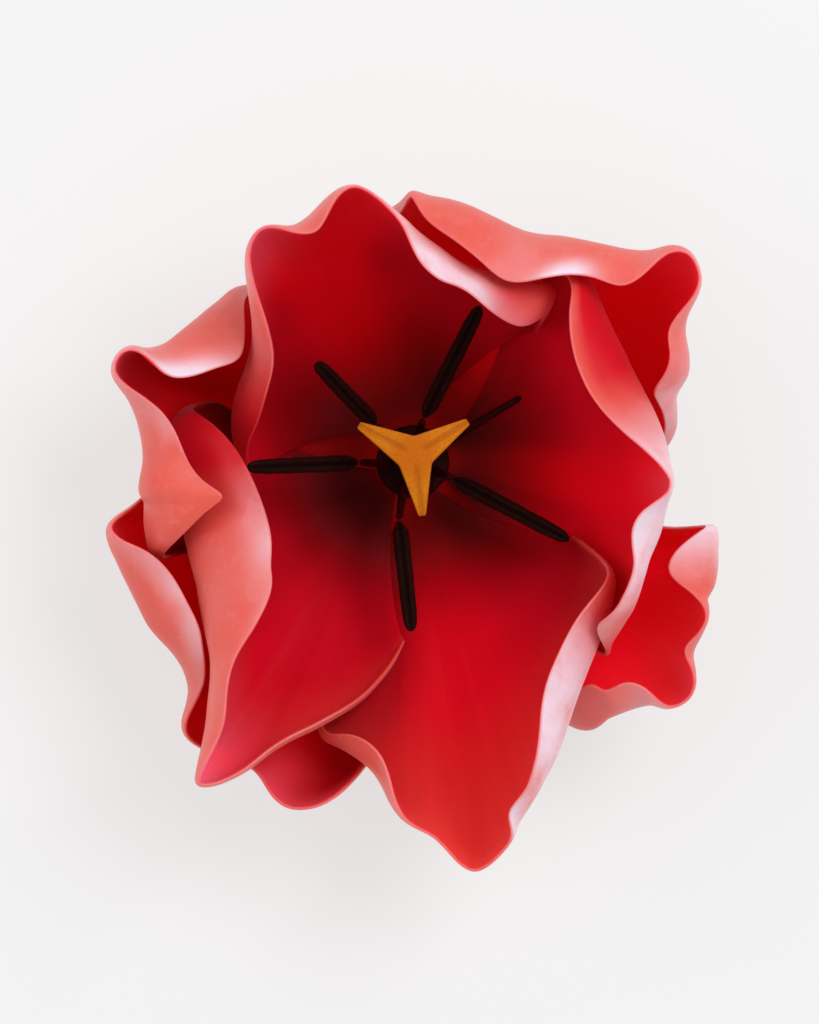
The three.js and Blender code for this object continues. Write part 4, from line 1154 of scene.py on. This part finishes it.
class TULIP_OT_stamens(bpy.types.Operator):
    """Adds the six filaments and the five anthers"""

    bl_idname = "tulip.stamens"
    bl_label = "Stamens"

    def execute(self, context):
        settings = context.scene.tulip_stamens
        strand, dust = filament_finish(settings), anther_finish(settings)
        for name, (azimuth, knee, tip) in STAMENS.items():
            mesh = build_filament(name, azimuth, knee, settings)
            place_piece(mesh, "filament_" + name, "filament", strand)
            if tip:
                mesh = build_anther(name, knee, tip, settings)
                place_piece(mesh, "anther_" + name, "anther", dust)
        return {"FINISHED"}


class TULIP_OT_pistil(bpy.types.Operator):
    """Adds the three-cornered ovary and the three-armed stigma"""

    bl_idname = "tulip.pistil"
    bl_label = "Pistil"

    def execute(self, context):
        settings = context.scene.tulip_pistil
        place_piece(build_ovary(), "ovary", "ovary", ovary_finish(settings))
        place_piece(build_stigma(settings), "stigma", "stigma", stigma_finish(settings))
        return {"FINISHED"}


class TULIP_OT_stem_end(bpy.types.Operator):
    """Adds the cut end of the stem"""

    bl_idname = "tulip.stem_end"
    bl_label = "Stem end"

    def execute(self, context):
        settings = context.scene.tulip_stem
        place_piece(build_stem_end(), "stem_end", "stem", stem_finish(settings))
        return {"FINISHED"}


class TULIP_OT_stage(bpy.types.Operator):
    """Adds the floor, the lights and the camera"""

    bl_idname = "tulip.stage"
    bl_label = "Stage"

    def execute(self, context):
        scene, settings = context.scene, context.scene.tulip_stage
        half = settings.floor_size / 2
        corners = [(-half, -half, 0), (half, -half, 0), (half, half, 0), (-half, half, 0)]
        mesh = bpy.data.meshes.new("floor")
        mesh.from_pydata(corners, [], [(0, 1, 2, 3)])
        mesh.materials.append(floor_finish(settings))
        floor = bpy.data.objects.new("floor", mesh)
        scene.collection.objects.link(floor)
        world = bpy.data.worlds.new("even_light")
        world.use_nodes = True
        background = world.node_tree.nodes["Background"]
        background.inputs["Color"].default_value = (1.0, 1.0, 1.0, 1.0)
        background.inputs["Strength"].default_value = settings.sky_light
        scene.world = world
        add_lamp("key_light", KEY_PLACE, KEY_SIZE, settings.key_light, KEY_TINT)
        add_lamp("fill_light", FILL_PLACE, FILL_SIZE, settings.fill_light, FILL_TINT)
        lens = bpy.data.cameras.new("camera")
        lens.lens, lens.sensor_width = settings.focal_length, SENSOR_WIDTH
        lens.clip_start, lens.clip_end = CLIP_START, CLIP_END
        camera = bpy.data.objects.new("camera", lens)
        aside, back = settings.camera_offset
        camera.location = (AXIS[0] + aside, AXIS[1] + back, settings.camera_height)
        scene.collection.objects.link(camera)
        scene.camera = camera
        scene.view_settings.view_transform = "Standard"
        return {"FINISHED"}


def add_lamp(name, place, size, power, colour):
    """A square soft lamp that looks at the middle of the bloom."""
    light = bpy.data.lights.new(name, "AREA")
    light.size, light.energy, light.color = size, power, colour
    lamp = bpy.data.objects.new(name, light)
    lamp.location = place
    lamp.rotation_euler = (Vector(LAMP_TARGET) - Vector(place)).to_track_quat("-Z", "Y").to_euler()
    bpy.context.scene.collection.objects.link(lamp)


# ---- panel and main --------------------------------------------------------------------------------

class TULIP_PT_bloom(bpy.types.Panel):
    """Lists the bloom's settings and its steps"""

    bl_idname = "TULIP_PT_bloom"
    bl_label = "Tulip Bloom"
    bl_space_type = "VIEW_3D"
    bl_region_type = "UI"
    bl_category = "Tulip"

    def draw(self, context):
        for label, holder, operator in STEPS:
            box = self.layout.box()
            box.label(text=label)
            settings = getattr(context.scene, holder)
            for name in settings.__annotations__:
                box.prop(settings, name)
            box.operator(operator)


STEPS = (
    ("Petals", "tulip_petals", "tulip.petals"),
    ("Stamens", "tulip_stamens", "tulip.stamens"),
    ("Pistil", "tulip_pistil", "tulip.pistil"),
    ("Stem end", "tulip_stem", "tulip.stem_end"),
    ("Stage", "tulip_stage", "tulip.stage"),
)
HOLDERS = {
    "tulip_petals": TulipPetalSettings,
    "tulip_stamens": TulipStamenSettings,
    "tulip_pistil": TulipPistilSettings,
    "tulip_stem": TulipStemSettings,
    "tulip_stage": TulipStageSettings,
}
CLASSES = (
    *HOLDERS.values(), TULIP_OT_petals, TULIP_OT_stamens, TULIP_OT_pistil, TULIP_OT_stem_end,
    TULIP_OT_stage, TULIP_PT_bloom,
)


def register():
    for kind in CLASSES:
        bpy.utils.register_class(kind)
    for holder, kind in HOLDERS.items():
        setattr(bpy.types.Scene, holder, PointerProperty(type=kind))


def unregister():
    for holder in HOLDERS:
        delattr(bpy.types.Scene, holder)
    for kind in reversed(CLASSES):
        bpy.utils.unregister_class(kind)


def main():
    register()
    bpy.ops.tulip.petals()
    bpy.ops.tulip.stamens()
    bpy.ops.tulip.pistil()
    bpy.ops.tulip.stem_end()
    bpy.ops.tulip.stage()


if __name__ == "__main__":
    main()
